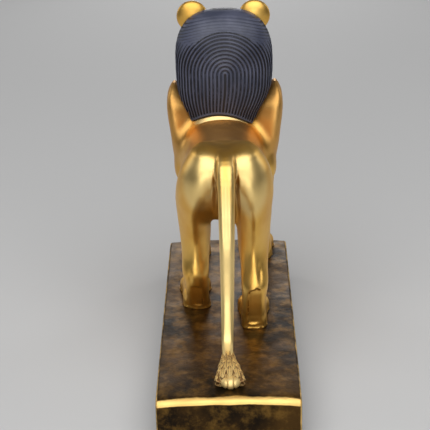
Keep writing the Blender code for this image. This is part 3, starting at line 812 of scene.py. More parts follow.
@dataclass(frozen=True)
class Head:
    """The head: skull, ruff, muzzle, cheeks, brows, eyes and round ears.

    Its fine features are drawn as seen from the front, as bumps and grooves that are
    functions of X and the height, on the part of the face that looks forward.
    """

    skull: Triple = (0.0, -79.0, 147.5)
    skull_radii: Triple = (22.5, 20.0, 21.5)
    # The masses joined to the skull, each an oval's centre and radii, or a tube's rows
    cheek: Oval = ((12.2, -90.0, 143.5), (9.8, 6.6, 10.5))
    temple: Oval = ((14.5, -83.5, 160.5), (6.0, 4.5, 6.0))
    bridge: Rows = ((0, -90.0, 158.5, 7.4), (0, -97.0, 154.6, 7.0), (0, -103.3, 147.0, 5.6))
    snout: Oval = ((0.0, -95.0, 140.5), (10.5, 13.8, 9.0))
    whisker_pad: Oval = ((5.2, -100.0, 139.6), (6.2, 8.6, 6.2))
    chin: Oval = ((0.0, -96.0, 132.4), (7.4, 9.4, 5.2))
    brow: Rows = ((3.5, -97.0, 157.5, 2.2), (10.0, -95.0, 160.6, 2.6), (17.5, -89.5, 157.5, 2.2))
    ruff: Triple = (0.0, -87.0, 144.5)
    ruff_radii: Triple = (26.0, 5.6, 24.5)
    ruff_rays: float = 44.0
    ruff_depth: float = 0.55
    ear: Triple = (19.6, -83.0, 165.0)
    ear_radii: Triple = (9.8, 4.9, 9.9)
    hollow: Triple = (18.9, -88.6, 165.0)
    hollow_radii: Triple = (7.2, 5.4, 7.5)
    eye: tuple[float, float] = (10.4, 152.6)
    eye_half_length: float = 5.0
    eye_half_height: float = 2.6
    eye_slant: float = 0.30
    socket_radius: float = 6.0
    socket_depth: float = 1.2
    ball_height: float = 0.9
    # The lids: how far out from the opening, their half width and their height
    lids: Triple = (0.35, 0.85, 0.75)
    # The tear line: its X, lean, half width and depth, and its heights
    tear: tuple[float, ...] = (5.2, 0.16, 0.9, 0.45)
    tear_top: float = 152.0
    tear_comes: tuple[float, float] = (142.5, 145.5)
    tear_goes: tuple[float, float] = (-151.5, -149.5)
    # How far forward the eyes, the lips, the nostrils and the nose pad begin
    eyes_begin: tuple[float, float] = (88.0, 91.0)
    lips_begin: tuple[float, float] = (89.0, 91.0)
    nostrils_begin: tuple[float, float] = (97.0, 100.0)
    pad_begins: tuple[float, float] = (101.0, 103.0)
    mouth_height: float = 136.2
    nose_top: float = 148.6
    nose_foot: float = 143.4
    # The nose pad: its half width at its foot, what the top adds, and its height
    pad_width: tuple[float, float] = (2.2, 3.6)
    pad_height: float = 1.0
    # A nostril: its X, height, radius and depth
    nostril: tuple[float, ...] = (3.6, 145.0, 1.3, 1.1)
    # The grooves' half widths and depths, along the lips and up to the nose
    lip_groove: tuple[float, float] = (0.95, 1.3)
    parting_groove: tuple[float, float] = (0.8, 1.0)
    # The whisker marks: the first row's height, the rows' pitch and the dots' pitch
    whiskers: Triple = (138.4, 2.0, 2.2)
    # Where they are: X, height, radius and depth
    whisker_patch: tuple[float, ...] = (7.5, 139.6, 5.0, 0.5)
    ruff_rim: tuple[float, float] = (17.5, 20.0)
    ruff_reach: float = 1.6
    ear_reach: float = 1.5

    def masses(self, folded: Points) -> Values:
        """Field of the head's large masses, blended from the skull to the chin.

        Args:
            folded: where it is read, with the right side folded onto the left.

        Returns:
            The field's values.
        """
        field = ellipsoid(folded, self.skull, self.skull_radii)
        forms = (
            (ellipsoid(folded, *self.cheek), 5.0),
            (ellipsoid(folded, *self.temple), 3.0),
            (tube(folded, self.bridge), 4.0),
            (ellipsoid(folded, *self.snout), 4.0),
            (ellipsoid(folded, *self.whisker_pad), 2.0),
            (ellipsoid(folded, *self.chin), 2.0),
            (tube(folded, self.brow), 3.0),
        )
        for form, reach in forms:
            field = blend(field, form, reach)
        return field

    def eyes(self, field: Values, folded: Points) -> Values:
        """The field with almond eyes: a socket, an eyeball, two lids and a tear line.

        An eye's opening is bounded by two parabolas over its length.

        Args:
            field: the head's field so far.
            folded: where it was read.

        Returns:
            The field's values.
        """
        across, along, up = folded.T
        ahead = rise(-along, *self.eyes_begin)
        beside, above = across - self.eye[0], up - self.eye[1]
        length = (beside + self.eye_slant * above) / self.eye_half_length
        height = above - self.eye_slant * beside
        almond = np.clip(1 - length**2, 0, 1)
        opening = np.abs(height) - self.eye_half_height * almond
        socket = ridge(np.hypot(beside / 1.5, above), self.socket_radius)
        field = field + self.socket_depth * socket * ahead
        ball = rise(-opening, 0.0, 1.2) * np.sqrt(almond)
        field = field - self.ball_height * ball * ahead
        lid_out, lid_half_width, lid_height = self.lids
        lids = ridge(opening - lid_out, lid_half_width) * rise(-np.abs(length), -1.12, -0.85)
        field = field - lid_height * lids * ahead
        tear_out, tear_lean, tear_half_width, tear_depth = self.tear
        tear = ridge(across - tear_out + tear_lean * (self.tear_top - up), tear_half_width)
        tear = tear * rise(up, *self.tear_comes) * rise(-up, *self.tear_goes)
        return field + tear_depth * tear * ahead

    def muzzle(self, field: Values, folded: Points) -> Values:
        """The field with its nose pad, the lips' line and rows of whisker marks.

        Args:
            field: the head's field so far.
            folded: where it was read.

        Returns:
            The field's values.
        """
        across, along, up = folded.T
        ahead = rise(-along, *self.nostrils_begin)
        narrow, widening = self.pad_width
        width = narrow + widening * np.clip((up - self.nose_foot) / (self.nose_top - self.nose_foot), 0, 1)
        pad = rise(width - across, -0.4, 0.5) * rise(up, self.nose_foot - 0.5, self.nose_foot + 0.6)
        pad = pad * rise(self.nose_top - up, -0.5, 0.6)
        field = field - self.pad_height * pad * rise(-along, *self.pad_begins)
        nostril_out, nostril_height, nostril_radius, nostril_depth = self.nostril
        off = np.hypot(across - nostril_out, (up - nostril_height) * 1.3)
        field = field + nostril_depth * ridge(off, nostril_radius) * ahead
        lips = self.mouth_height + 1.7 * np.clip(across / 4.0, 0, 1) ** 2
        lips = lips - 0.10 * np.clip(across - 4.5, 0, 20) ** 1.6
        side = rise(-along, *self.lips_begin)
        lip_half_width, lip_depth = self.lip_groove
        field = score(field, up - lips, lip_half_width, lip_depth * side)
        parting = (up > self.mouth_height) * rise(-up, -self.nose_foot - 0.4, -self.nose_foot + 0.4)
        parting_half_width, parting_depth = self.parting_groove
        field = score(field, across, parting_half_width, parting_depth * ahead * parting)
        first_row, row_pitch, dot_pitch = self.whiskers
        rows = 0.5 + 0.5 * np.cos(2 * np.pi * (up - first_row) / row_pitch)
        dots = 0.5 + 0.5 * np.cos(2 * np.pi * (along + 0.5 * up) / dot_pitch)
        patch_out, patch_height, patch_radius, patch_depth = self.whisker_patch
        patch = ridge(np.hypot(across - patch_out, (up - patch_height) * 1.2), patch_radius)
        return field + patch_depth * patch * (rows * dots) ** 2 * side

    def field(self, points: Points) -> Values:
        """Field of the head.

        Args:
            points: where it is read.

        Returns:
            The field's values.
        """
        folded = mirrored(points)
        across, along, up = folded.T
        ruff = ellipsoid(folded, self.ruff, self.ruff_radii)
        angle = np.arctan2(up - self.ruff[2], across)
        outwards = np.hypot(across, up - self.ruff[2])
        rim = rise(outwards, *self.ruff_rim)
        rays = (0.5 - 0.5 * np.cos(self.ruff_rays * angle)) * rim
        ruff = ruff + self.ruff_depth * (1 - rays) * rim
        field = blend(self.masses(folded), ruff, self.ruff_reach)
        field = self.muzzle(self.eyes(field, folded), folded)
        ear = ellipsoid(folded, self.ear, self.ear_radii)
        hollow = ellipsoid(folded, self.hollow, self.hollow_radii)
        hairs = 0.5 + 0.5 * np.cos(3.4 * (across - 0.55 * (up - 160.0)))
        hollow = hollow + 0.6 * hairs * rise(-across, -19.5, -14.0)
        return blend(field, carve(ear, hollow, 1.0), self.ear_reach)


@dataclass(frozen=True)
class Wig:
    """The wig: a dome, a fall down the back and two lappets, all cut into grooves."""

    # Height, X, half width, front Y, back Y and squareness of the fall
    fall: Rows = (
        (94.0, 2.1, 20.0, -80.0, -60.5, 3.4),
        (102.0, 2.1, 21.8, -82.0, -58.5, 3.4),
        (108.0, 1.8, 23.8, -84.0, -57.0, 3.2),
        (115.0, 1.1, 27.0, -86.5, -55.0, 3.0),
        (123.0, 0.3, 29.5, -88.5, -53.3, 2.6),
        (131.0, 0.0, 30.4, -90.0, -52.6, 2.3),
        (139.0, 0.0, 30.6, -90.5, -53.2, 2.3),
    )
    temple: float = 139.0
    crown: float = 171.0
    crown_y: float = -79.0
    width_power: float = 2.7
    depth_power: float = 2.1
    # Height, X, Y, half width, half depth of a lappet
    lappet: Rows = (
        (82.0, 14.5, -96.0, 7.4, 3.4),
        (92.0, 15.0, -95.5, 7.8, 3.6),
        (104.0, 16.5, -94.0, 8.2, 3.9),
        (116.0, 18.5, -90.0, 8.2, 4.6),
        (130.0, 20.5, -83.0, 7.6, 6.6),
        (144.0, 20.0, -77.0, 7.0, 7.0),
    )
    # The hem behind: its height in the middle, its lean and its bow
    hem: Triple = (107.8, 0.145, 0.0182)
    hem_reach: float = -78.0
    # The grooves: arches round a point, straight below it, and level lines on top
    arch_height: float = 134.9
    arch_x: float = -0.6
    pitch: float = 2.5
    bend_radius: float = 27.0
    arches: float = 11.0
    top_pitch: float = 1.6
    top_share: float = 0.24
    top_bow: float = 0.008
    top_begins: tuple[float, float] = (150.0, 156.0)
    # Outside the last arch: the share by which the grooves fade, how far on, how high
    fading: float = 0.5
    fading_reach: float = 6.0
    fading_begins: tuple[float, float] = (140.0, 150.0)
    # How far back the grooves behind begin, and how far forward those on the lappets
    behind_begins: tuple[float, float] = (-90.0, -86.0)
    front_begins: tuple[float, float] = (87.0, 90.0)
    front_comes: tuple[float, float] = (84.5, 85.5)
    front_goes: tuple[float, float] = (-140.0, -132.0)
    lappet_pitch: float = 2.2
    groove_depth: float = 0.75
    hem_width: float = 1.9
    collar_gap: float = 0.7
    collar_stand: float = 0.4
    collar_flare: float = 0.85
    collar_height: float = 2.6
    collar_foot: float = 88.0

    def plain(self, points: Points) -> Values:
        """Field of the wig before it is grooved.

        Over the temples its ovals shrink as 1 less the risen share to a power, to the
        inverse of that power.

        Args:
            points: where it is read.

        Returns:
            The field's values.
        """
        across, along, up = points.T
        fall_x, half_width, front, back, power = through(self.fall, up).T
        risen = np.clip((up - self.temple) / (self.crown - self.temple), 0, 0.9999)
        narrowing = (1 - risen**self.width_power) ** (1 / self.width_power)
        shallowing = (1 - risen**self.depth_power) ** (1 / self.depth_power)
        middle = (front + back) / 2
        middle = middle + (self.crown_y - middle) * (1 - shallowing)
        half_depth = (back - front) / 2 * shallowing
        fall = section(across - fall_x, along - middle, half_width * narrowing, half_depth, power)
        fall = capped(fall, up, self.fall[0][0], self.crown)
        below = self.hem_height(across) - up
        fall = np.maximum(fall, np.minimum(below, along - self.hem_reach))
        out, place, half_width, half_depth = through(self.lappet, up).T
        lappet = section(np.abs(across) - out, along - place, half_width, half_depth, 3.0)
        lappet = capped(lappet, up, self.lappet[0][0], self.lappet[-1][0])
        return blend(fall, lappet, 3.0)

    def hem_height(self, across: Values) -> Values:
        """Height of the hem behind: a parabola in X."""
        middle, lean, bow = self.hem
        return middle + lean * across - bow * across**2

    def collar(self, points: Points) -> Values:
        """Field of the gold collar under the hem, whose lip spreads out downwards.

        It is the fall's oval, wider by a share of the depth below the hem.

        Args:
            points: where it is read.

        Returns:
            The field's values.
        """
        across, along, up = points.T
        fall_x, half_width, front, back, power = through(self.fall, up).T
        oval = section(across - fall_x, along - (front + back) / 2, half_width, (back - front) / 2, power)
        below = self.hem_height(across) - up - self.collar_gap
        stand = self.collar_stand + self.collar_flare * np.clip(below, 0, self.collar_height)
        body = carve(oval - stand, below, 0.5)
        return np.maximum(body, self.collar_foot - up)

    def grooves(self, points: Points) -> Values:
        """How deep the grooves are cut at the points, from 0 to 1.

        Behind, each groove is an arch: the places at one distance from a half line that
        goes straight down from the arches' centre. The distance is a chord through the
        wig, turned into the arc over it. Outside the last arch the lines are level.

        Args:
            points: where they are read.

        Returns:
            One depth for each point.
        """
        across, along, up = points.T
        level = np.minimum(up, self.arch_height)
        fall_x, half_width, _, behind, _ = through(self.fall, level).T
        above = up - level
        widest = self.fall[-1][2]
        beside = (across - fall_x) * widest / half_width - self.arch_x
        chord = np.sqrt(beside**2 + above**2 + (behind - along) ** 2)
        arc = 2 * self.bend_radius * np.arcsin(np.clip(chord / (2 * self.bend_radius), 0, 1))
        arched = cord(arc / self.pitch)
        levelled = cord((up + self.top_bow * across**2) / self.top_pitch)
        last = self.arches * self.pitch
        on_top = rise(arc, last - 0.1, last + 0.1) * rise(up, *self.top_begins)
        outside = rise(arc, last, last + self.fading_reach)
        depth = (1 - on_top) * arched * (1 - self.fading * outside * rise(up, *self.fading_begins))
        depth = depth + on_top * self.top_share * levelled
        plain_edge = rise(up - self.hem_height(across), self.hem_width * 0.6, self.hem_width)
        depth = depth * plain_edge * rise(along, *self.behind_begins)
        out = through(self.lappet, up)[:, 0]
        strands = cord((np.abs(across) - out + self.lappet_pitch / 2) / self.lappet_pitch)
        in_front = rise(-along, *self.front_begins) * rise(-up, *self.front_goes)
        in_front = in_front * rise(up, *self.front_comes)
        return np.maximum(depth, in_front * strands)

    def field(self, points: Points) -> Values:
        """Field of the wig with its grooves."""
        return self.plain(points) + self.groove_depth * self.grooves(points)


@dataclass(frozen=True)
class Stance:
    """All that is gilded below the head, standing on height 0."""

    trunk: Trunk = Trunk()
    hind: HindLeg = HindLeg()
    fore: Foreleg = Foreleg()
    tail: Tail = Tail()
    neck: Neck = Neck()
    wig: Wig = Wig()
    left_hind: HindStride = HindStride(27.5, 3.2, -4.8, 2.2, 0.7, 20.0, 3.3, 1.1)
    right_hind: HindStride = HindStride(0.0, 0.0, 25.2, 0.2, 0.9, 28.0, 4.5, 1.5)
    fore_swing: float = 6.0
    shoulder_reach: float = 7.0
    # The clefts that part the rump from the tail's root
    cleft_out: float = 6.4
    cleft_top: float = 106.0
    cleft_depth: float = 4.5
    cleft_x: float = -0.3
    cleft_height: float = 24.0
    cleft_flare: float = 1.5
    cleft_half_width: float = 1.4
    cleft_widening: float = 2.2
    cleft_begins: tuple[float, float] = (6.0, 20.0)
    limb_reach: float = 7.0
    neck_reach: float = 5.0
    tail_reach: float = 2.5
    collar_reach: float = 1.5
    foot_flare: float = 1.3
    # How far the body stays under the collar, which is a finer mesh of its own
    collar_under: float = 0.35

    def field(self, points: Points) -> Values:
        """Field of the trunk, the legs, the neck and the tail.

        Args:
            points: where it is read.

        Returns:
            The field's values.
        """
        across, along, up = points.T
        limbs = np.minimum(
            self.hind.field(points, 1, self.left_hind),
            self.hind.field(points, -1, self.right_hind),
        )
        body = blend(self.trunk.field(points), limbs, self.limb_reach)
        for side in (1, -1):
            foreleg = self.fore.field(points, side, -side * self.fore_swing)
            body = blend(body, foreleg, self.shoulder_reach)
        body = blend(body, self.neck.field(points), self.neck_reach)
        fallen = rise(-up, -self.cleft_top, self.cleft_height - self.cleft_top)
        cleft = np.abs(across - self.cleft_x) - self.cleft_out + self.cleft_flare * fallen
        half_width = self.cleft_half_width + self.cleft_widening * fallen
        depth = self.cleft_depth * fallen * rise(along, *self.cleft_begins)
        body = score(body, cleft, half_width, depth)
        body = blend(body, self.tail.field(points), self.tail_reach)
        body = blend(body, self.wig.collar(points) + self.collar_under, self.collar_reach)
        foot_line = self.foot_flare * np.clip(1 - up / self.foot_flare, 0, 1)
        return np.maximum(body - foot_line, -up)


# Finishes


class Shading:
    """A node material under construction, with short calls for the nodes it uses."""

    # The share of a spot's radii over which it fades
    soft_edge = 0.42

    def __init__(self, name: str) -> None:
        """Start a material.

        Args:
            name: the material's name.
        """
        self.material = bpy.data.materials.new(name)
        self.material.use_nodes = True
        self.tree = self.material.node_tree
        self.surface = self.tree.nodes["Principled BSDF"]
        self.place = self.tree.nodes.new("ShaderNodeTexCoord").outputs["Object"]

    def noise(self, scale: float, detail: float = 3.0, rough: float = 0.5) -> Socket:
        """Fine or broad cloudiness from 0 to 1.

        Args:
            scale: cycles in a metre.
            detail: how many finer layers are added.
            rough: how strong the finer layers are.

        Returns:
            The node's value socket.
        """
        node = self.tree.nodes.new("ShaderNodeTexNoise")
        node.inputs["Scale"].default_value = scale
        node.inputs["Detail"].default_value = detail
        node.inputs["Roughness"].default_value = rough
        self.tree.links.new(self.place, node.inputs["Vector"])
        return node.outputs["Fac"]

    def spot(self, centre: Triple, radii: Triple) -> Socket:
        """A soft spot: 1 at its centre, and nothing from an oval round it on.

        Args:
            centre: its place, in metres.
            radii: the oval's radii.

        Returns:
            The node's value socket: 1 less the distance as a share of the radii.
        """
        mapping = self.tree.nodes.new("ShaderNodeMapping")
        mapping.vector_type = "TEXTURE"
        mapping.inputs["Location"].default_value = centre
        mapping.inputs["Scale"].default_value = radii
        self.tree.links.new(self.place, mapping.inputs["Vector"])
        gradient = self.tree.nodes.new("ShaderNodeTexGradient")
        gradient.gradient_type = "SPHERICAL"
        self.tree.links.new(mapping.outputs["Vector"], gradient.inputs["Vector"])
        return gradient.outputs["Fac"]

    def spots(self, rows: Spots) -> Socket:
        """The strongest of several soft spots.

        Args:
            rows: the centre, the radii and the strength of each.

        Returns:
            A value socket, from 0 to the strength.
        """
        shares = []
        for centre, radii, strength in rows:
            shares.append(self.spread(self.spot(centre, radii), 0.0, self.soft_edge, 0.0, strength))
        strongest = shares[0]
        for share in shares[1:]:
            strongest = self.sum_of(strongest, share, "MAXIMUM")
        return strongest

    def attribute(self, name: str) -> Socket:
        """The value socket of one of the mesh's own attributes.

        Args:
            name: the attribute's name.

        Returns:
            The node's value socket.
        """
        node = self.tree.nodes.new("ShaderNodeAttribute")
        node.attribute_name = name
        return node.outputs["Fac"]

    def spread(
        self, value: Socket, low: float, high: float, to_low: float = 0.0, to_high: float = 1.0
    ) -> Socket:
        """A value carried smoothly from one range to another.

        Args:
            value: the value's socket.
            low: start of its range.
            high: end of its range.
            to_low: what the start becomes.
            to_high: what the end becomes.

        Returns:
            The node's value socket.
        """
        node = self.tree.nodes.new("ShaderNodeMapRange")
        node.interpolation_type = "SMOOTHSTEP"
        self.tree.links.new(value, node.inputs["Value"])
        for socket, number in zip(node.inputs[1:5], (low, high, to_low, to_high)):
            socket.default_value = number
        return node.outputs["Result"]

    def sum_of(self, first: Socket, second: Socket | float, way: str = "ADD") -> Socket:
        """Two values put together by a Math node, which may also multiply them.

        Args:
            first: a value's socket.
            second: a number, or another socket.
            way: the Math node's operation.

        Returns:
            The node's value socket.
        """
        node = self.tree.nodes.new("ShaderNodeMath")
        node.operation = way
        for socket, value in zip(node.inputs, (first, second)):
            if isinstance(value, float):
                socket.default_value = value
            else:
                self.tree.links.new(value, socket)
        return node.outputs["Value"]

    def between(self, share: Socket, first: Socket | Colour, second: Socket | Colour) -> Socket:
        """A colour between two, by a share from 0 to 1.

        Args:
            share: the share's socket.
            first: the colour at 0, or its socket.
            second: the colour at 1, or its socket.

        Returns:
            The node's colour socket.
        """
        node = self.tree.nodes.new("ShaderNodeMix")
        node.data_type = "RGBA"
        self.tree.links.new(share, node.inputs["Factor"])
        for socket, colour in ((node.inputs[6], first), (node.inputs[7], second)):
            if isinstance(colour, tuple):
                socket.default_value = colour
            else:
                self.tree.links.new(colour, socket)
        return node.outputs[2]

    def relief(self, height: Socket, depth: float) -> None:
        """Add fine relief to the surface's normal.

        Args:
            height: the socket that gives the height, from 0 to 1.
            depth: how deep the relief is, in metres.
        """
        node = self.tree.nodes.new("ShaderNodeBump")
        node.inputs["Strength"].default_value = 1.0
        node.inputs["Distance"].default_value = depth
        self.tree.links.new(height, node.inputs["Height"])
        self.tree.links.new(node.outputs["Normal"], self.surface.inputs["Normal"])

    def connect(self, socket: str, value: Socket) -> None:
        """Link a value to the surface's socket of that name."""
        self.tree.links.new(value, self.surface.inputs[socket])

    def fix(self, **numbers: float) -> None:
        """Set the surface's own sockets to plain numbers, named with _ for a space."""
        for name, number in numbers.items():
            self.surface.inputs[name.replace("_", " ")].default_value = number


@dataclass(frozen=True)
class Gilding:
    """Satin gold: amber painted shade in its hollows, brown in its creases (partly patina, partly painted
    shade), brown painted shade and reflection on the saddle and shoulders, paler painted highlights on the
    tail and rump.
    """

    name: str = "gilding"
    bright: Colour = (0.92, 0.58, 0.15, 1.0)
    deep: Colour = (0.81, 0.45, 0.085, 1.0)
    # Painted shade: amber for the deep hollows
    shade_amber: Colour = (0.44, 0.23, 0.055, 1.0)
    # Brown for the creases: partly patina, partly painted shade
    hollow: Colour = (0.36, 0.15, 0.02, 1.0)
    # Painted shade and dark reflection, in brown
    shade_brown: Colour = (0.58, 0.30, 0.105, 1.0)
    # Painted highlight: a paler gold
    highlight_gold: Colour = (0.97, 0.74, 0.32, 1.0)
    # Painted highlights: where the gold is painted paler, on the tail and on the rump
    highlight_spots: Spots = (
        ((0.0, 0.058, 0.070), (0.0080, 0.045, 0.085), 0.90),
        ((0.013, 0.026, 0.120), (0.017, 0.020, 0.026), 0.75),
        ((-0.013, 0.026, 0.120), (0.017, 0.020, 0.026), 0.75),
    )
    # Painted shade and dark reflection: brown spots on the saddle and on both shoulders
    shade_spots: Spots = (
        ((0.0, -0.036, 0.132), (0.036, 0.036, 0.030), 0.80),
        ((0.036, -0.072, 0.130), (0.022, 0.034, 0.046), 0.60),
        ((-0.036, -0.072, 0.130), (0.022, 0.034, 0.046), 0.60),
    )
    crease_share: float = 0.85
    metallic: float = 1.0
    smoothest: float = 0.38
    roughest: float = 0.46

    def make(self) -> bpy.types.Material:
        """Clouded gold, with painted shade in its hollows, painted highlight spots, spots of painted shade
        and reflection, and the brown of its creases laid over it.

        Returns:
            The finished material.
        """
        made = Shading(self.name)
        cloud = made.spread(made.noise(38.0, 4.0, 0.55), 0.3, 0.7)
        plain = made.between(cloud, self.deep, self.bright)
        # Painted shade: amber where the wide reach finds the skin hemmed in
        shelter = made.spread(made.attribute("shelter"), 0.20, 0.90, 0.0, 0.85)
        plain = made.between(shelter, plain, self.shade_amber)
        # Painted highlights: paler gold on the tail and the rump
        if self.highlight_spots:
            plain = made.between(made.spots(self.highlight_spots), plain, self.highlight_gold)
        satin = made.spread(made.noise(95.0, 3.0), 0.25, 0.75, self.smoothest, self.roughest)
        # Painted shade and dark reflection: brown spots, a little rougher
        if self.shade_spots:
            dark_share = made.spots(self.shade_spots)
            plain = made.between(dark_share, plain, self.shade_brown)
            satin = made.sum_of(satin, made.sum_of(dark_share, 0.08, "MULTIPLY"))
        # Brown in the creases: partly patina, partly painted shade
        crease = made.spread(made.attribute("crease"), 0.20, 0.90, 0.0, self.crease_share)
        made.connect("Base Color", made.between(crease, plain, self.hollow))
        made.connect("Roughness", satin)
        made.relief(made.sum_of(made.noise(420.0, 3.0), made.noise(60.0, 2.0)), 0.00004)
        made.fix(Metallic=self.metallic)
        return made.material


# The tuft's gold: paler and less metallic, with darker painted shade between its locks
TUFT_GILDING = Gilding(
    name="tuft_gilding",
    bright=(0.97, 0.72, 0.30, 1.0),
    deep=(0.90, 0.58, 0.19, 1.0),
    shade_amber=(0.55, 0.31, 0.11, 1.0),
    hollow=(0.20, 0.10, 0.035, 1.0),
    highlight_spots=(),
    shade_spots=(),
    metallic=0.6,
    smoothest=0.40,
    roughest=0.50,
)
# The collar's rim: pale gold, a painted highlight along the bright line under the hem
RIM_HIGHLIGHT_GILDING = Gilding(
    name="rim_highlight_gilding",
    bright=(0.97, 0.74, 0.36, 1.0),
    deep=(0.95, 0.68, 0.29, 1.0),
    highlight_spots=(),
    shade_spots=(),
)


@dataclass(frozen=True)
class WigPaint:
    """Black paint with a cool grey sheen painted in random clouds, which shows on the ridges, and painted
    shade dark in the grooves.
    """

    # Painted sheen: a cool grey, laid in random clouds
    painted_sheen: Colour = (0.085, 0.092, 0.140, 1.0)
    base: Colour = (0.040, 0.046, 0.078, 1.0)
    # Painted shade for the grooves
    groove: Colour = (0.003, 0.003, 0.007, 1.0)

    def make(self) -> bpy.types.Material:
        """Clouded black with a painted sheen, darker in the grooves as painted shade.

        Returns:
            The finished material.
        """
        made = Shading("wig_black")
        cloud = made.spread(made.noise(60.0, 5.0, 0.6), 0.3, 0.72)
        plain = made.between(cloud, self.base, self.painted_sheen)
        # Painted shade: the grooves darken to near black
        crease = made.spread(made.attribute("crease"), 0.05, 0.55)
        made.connect("Base Color", made.between(crease, plain, self.groove))
        made.connect("Roughness", made.spread(made.noise(140.0, 3.0), 0.25, 0.75, 0.40, 0.55))
        made.relief(made.noise(500.0, 3.0), 0.00006)
        made.fix(Metallic=0.0, Specular_IOR_Level=0.55)
        return made.material


@dataclass(frozen=True)
class AntiquedPlinth:
    """Gilding under dark brown stain, worn back to gold along the edges."""

    stain: Colour = (0.012, 0.007, 0.003, 1.0)
    brown: Colour = (0.085, 0.042, 0.009, 1.0)
    tan: Colour = (0.34, 0.18, 0.035, 1.0)
    gold: Colour = (0.95, 0.62, 0.20, 1.0)

    def make(self) -> bpy.types.Material:
        """Two brown stains, flecked with tan, with gold wherever the wear is deep.

        Returns:
            The finished material.
        """
        made = Shading("antiqued_plinth")
        broad = made.spread(made.noise(26.0, 5.0, 0.6), 0.38, 0.66)
        fine = made.spread(made.noise(120.0, 5.0, 0.65), 0.40, 0.72)
        mottled = made.between(broad, self.stain, self.brown)
        mottled = made.between(made.sum_of(fine, 0.55, "MULTIPLY"), mottled, self.tan)
        ragged = made.spread(made.noise(70.0, 4.0, 0.6), 0.2, 0.8, -0.25, 0.25)
        wear = made.sum_of(made.attribute("wear"), ragged)
        made.connect("Base Color", made.between(made.spread(wear, 0.35, 0.75), mottled, self.gold))
        made.connect("Roughness", made.spread(made.noise(90.0, 4.0), 0.2, 0.8, 0.34, 0.55))
        made.relief(made.noise(160.0, 6.0, 0.65), 0.00030)
        made.fix(Metallic=0.85)
        return made.material


# Pieces


def put_mesh(name: str, places: Points, faces: Values, finish: bpy.types.Material) -> bpy.types.Object:
    """Put a mesh into the scene at the origin.

    Args:
        name: the piece's name.
        places: its corners, in metres.
        faces: four corner numbers for each face.
        finish: its material.

    Returns:
        The new object.
    """
    mesh = bpy.data.meshes.new(name)
    mesh.vertices.add(len(places))
    mesh.loops.add(faces.size)
    mesh.polygons.add(len(faces))
    mesh.vertices.foreach_set("co", places.astype(np.float32).ravel())
    mesh.loops.foreach_set("vertex_index", faces.astype(np.int32).ravel())
    mesh.polygons.foreach_set("loop_start", np.arange(0, faces.size, faces.shape[1], dtype=np.int32))
    mesh.update(calc_edges=True)
    mesh.validate()
    mesh.shade_smooth()
    mesh.materials.append(finish)
    piece = bpy.data.objects.new(name, mesh)
    bpy.context.scene.collection.objects.link(piece)
    return piece


def set_attribute(piece: bpy.types.Object, name: str, values: Values) -> None:
    """Store one number for each of a piece's corners.

    Args:
        piece: the piece.
        name: the attribute's name.
        values: the numbers.
    """
    attribute = piece.data.attributes.new(name, "FLOAT", "POINT")
    attribute.data.foreach_set("value", values.astype(np.float32))


def thin(piece: bpy.types.Object, most: int) -> None:
    """Thin a piece's mesh, mainly where it is flat.

    Args:
        piece: the piece, whose mesh is replaced.
        most: the number of triangles to thin it to.
    """
    triangles = 2 * len(piece.data.polygons)
    if triangles <= most:
        return
    thinning = piece.modifiers.new("thin", "DECIMATE")
    thinning.ratio = most / triangles
    evaluated = piece.evaluated_get(bpy.context.evaluated_depsgraph_get())
    thinned = bpy.data.meshes.new_from_object(evaluated)
    piece.modifiers.remove(thinning)
    old = piece.data
    piece.data = thinned
    bpy.data.meshes.remove(old)
    thinned.name = piece.name


@dataclass(frozen=True)
class CastPiece:
    """A piece of the figure, drawn from its field."""

    name: str
    field: Field
    low: Triple
    high: Triple
    cell: float
    # How far out the skin's hollows are read: for its creases, where the finishes paint patina and shade,
    # and for its wide hollows, where they paint shade
    reaches: tuple[float, float]
    node: str = "lioness"
    slot: str = "gilding"
    most_triangles: int = 190000
    quick_cells: float = 1.7

    def build(self, finish: bpy.types.Material, unit: float, base: float) -> bpy.types.Object:
        """Draw the piece, shade its hollows and put it on the plinth.

        Args:
            finish: its material.
            unit: the length of one figure unit, in metres.
            base: the height of the plinth's top, in metres.

        Returns:
            The finished piece.
        """
        cell = self.cell * 1.0
        places, faces = skin(self.field, self.low, self.high, cell)
        places = settle(self.field, places, cell)
        crease, shelter = hollowness(self.field, places, self.reaches)
        piece = put_mesh(self.name, places * unit + np.array((0, 0, base)), faces, finish)
        set_attribute(piece, "crease", crease)
        set_attribute(piece, "shelter", shelter)
        thin(piece, self.most_triangles)
        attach(piece, "root")
        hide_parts(self.node)
        log.info("%s: %d faces", self.name, len(piece.data.polygons))
        return piece


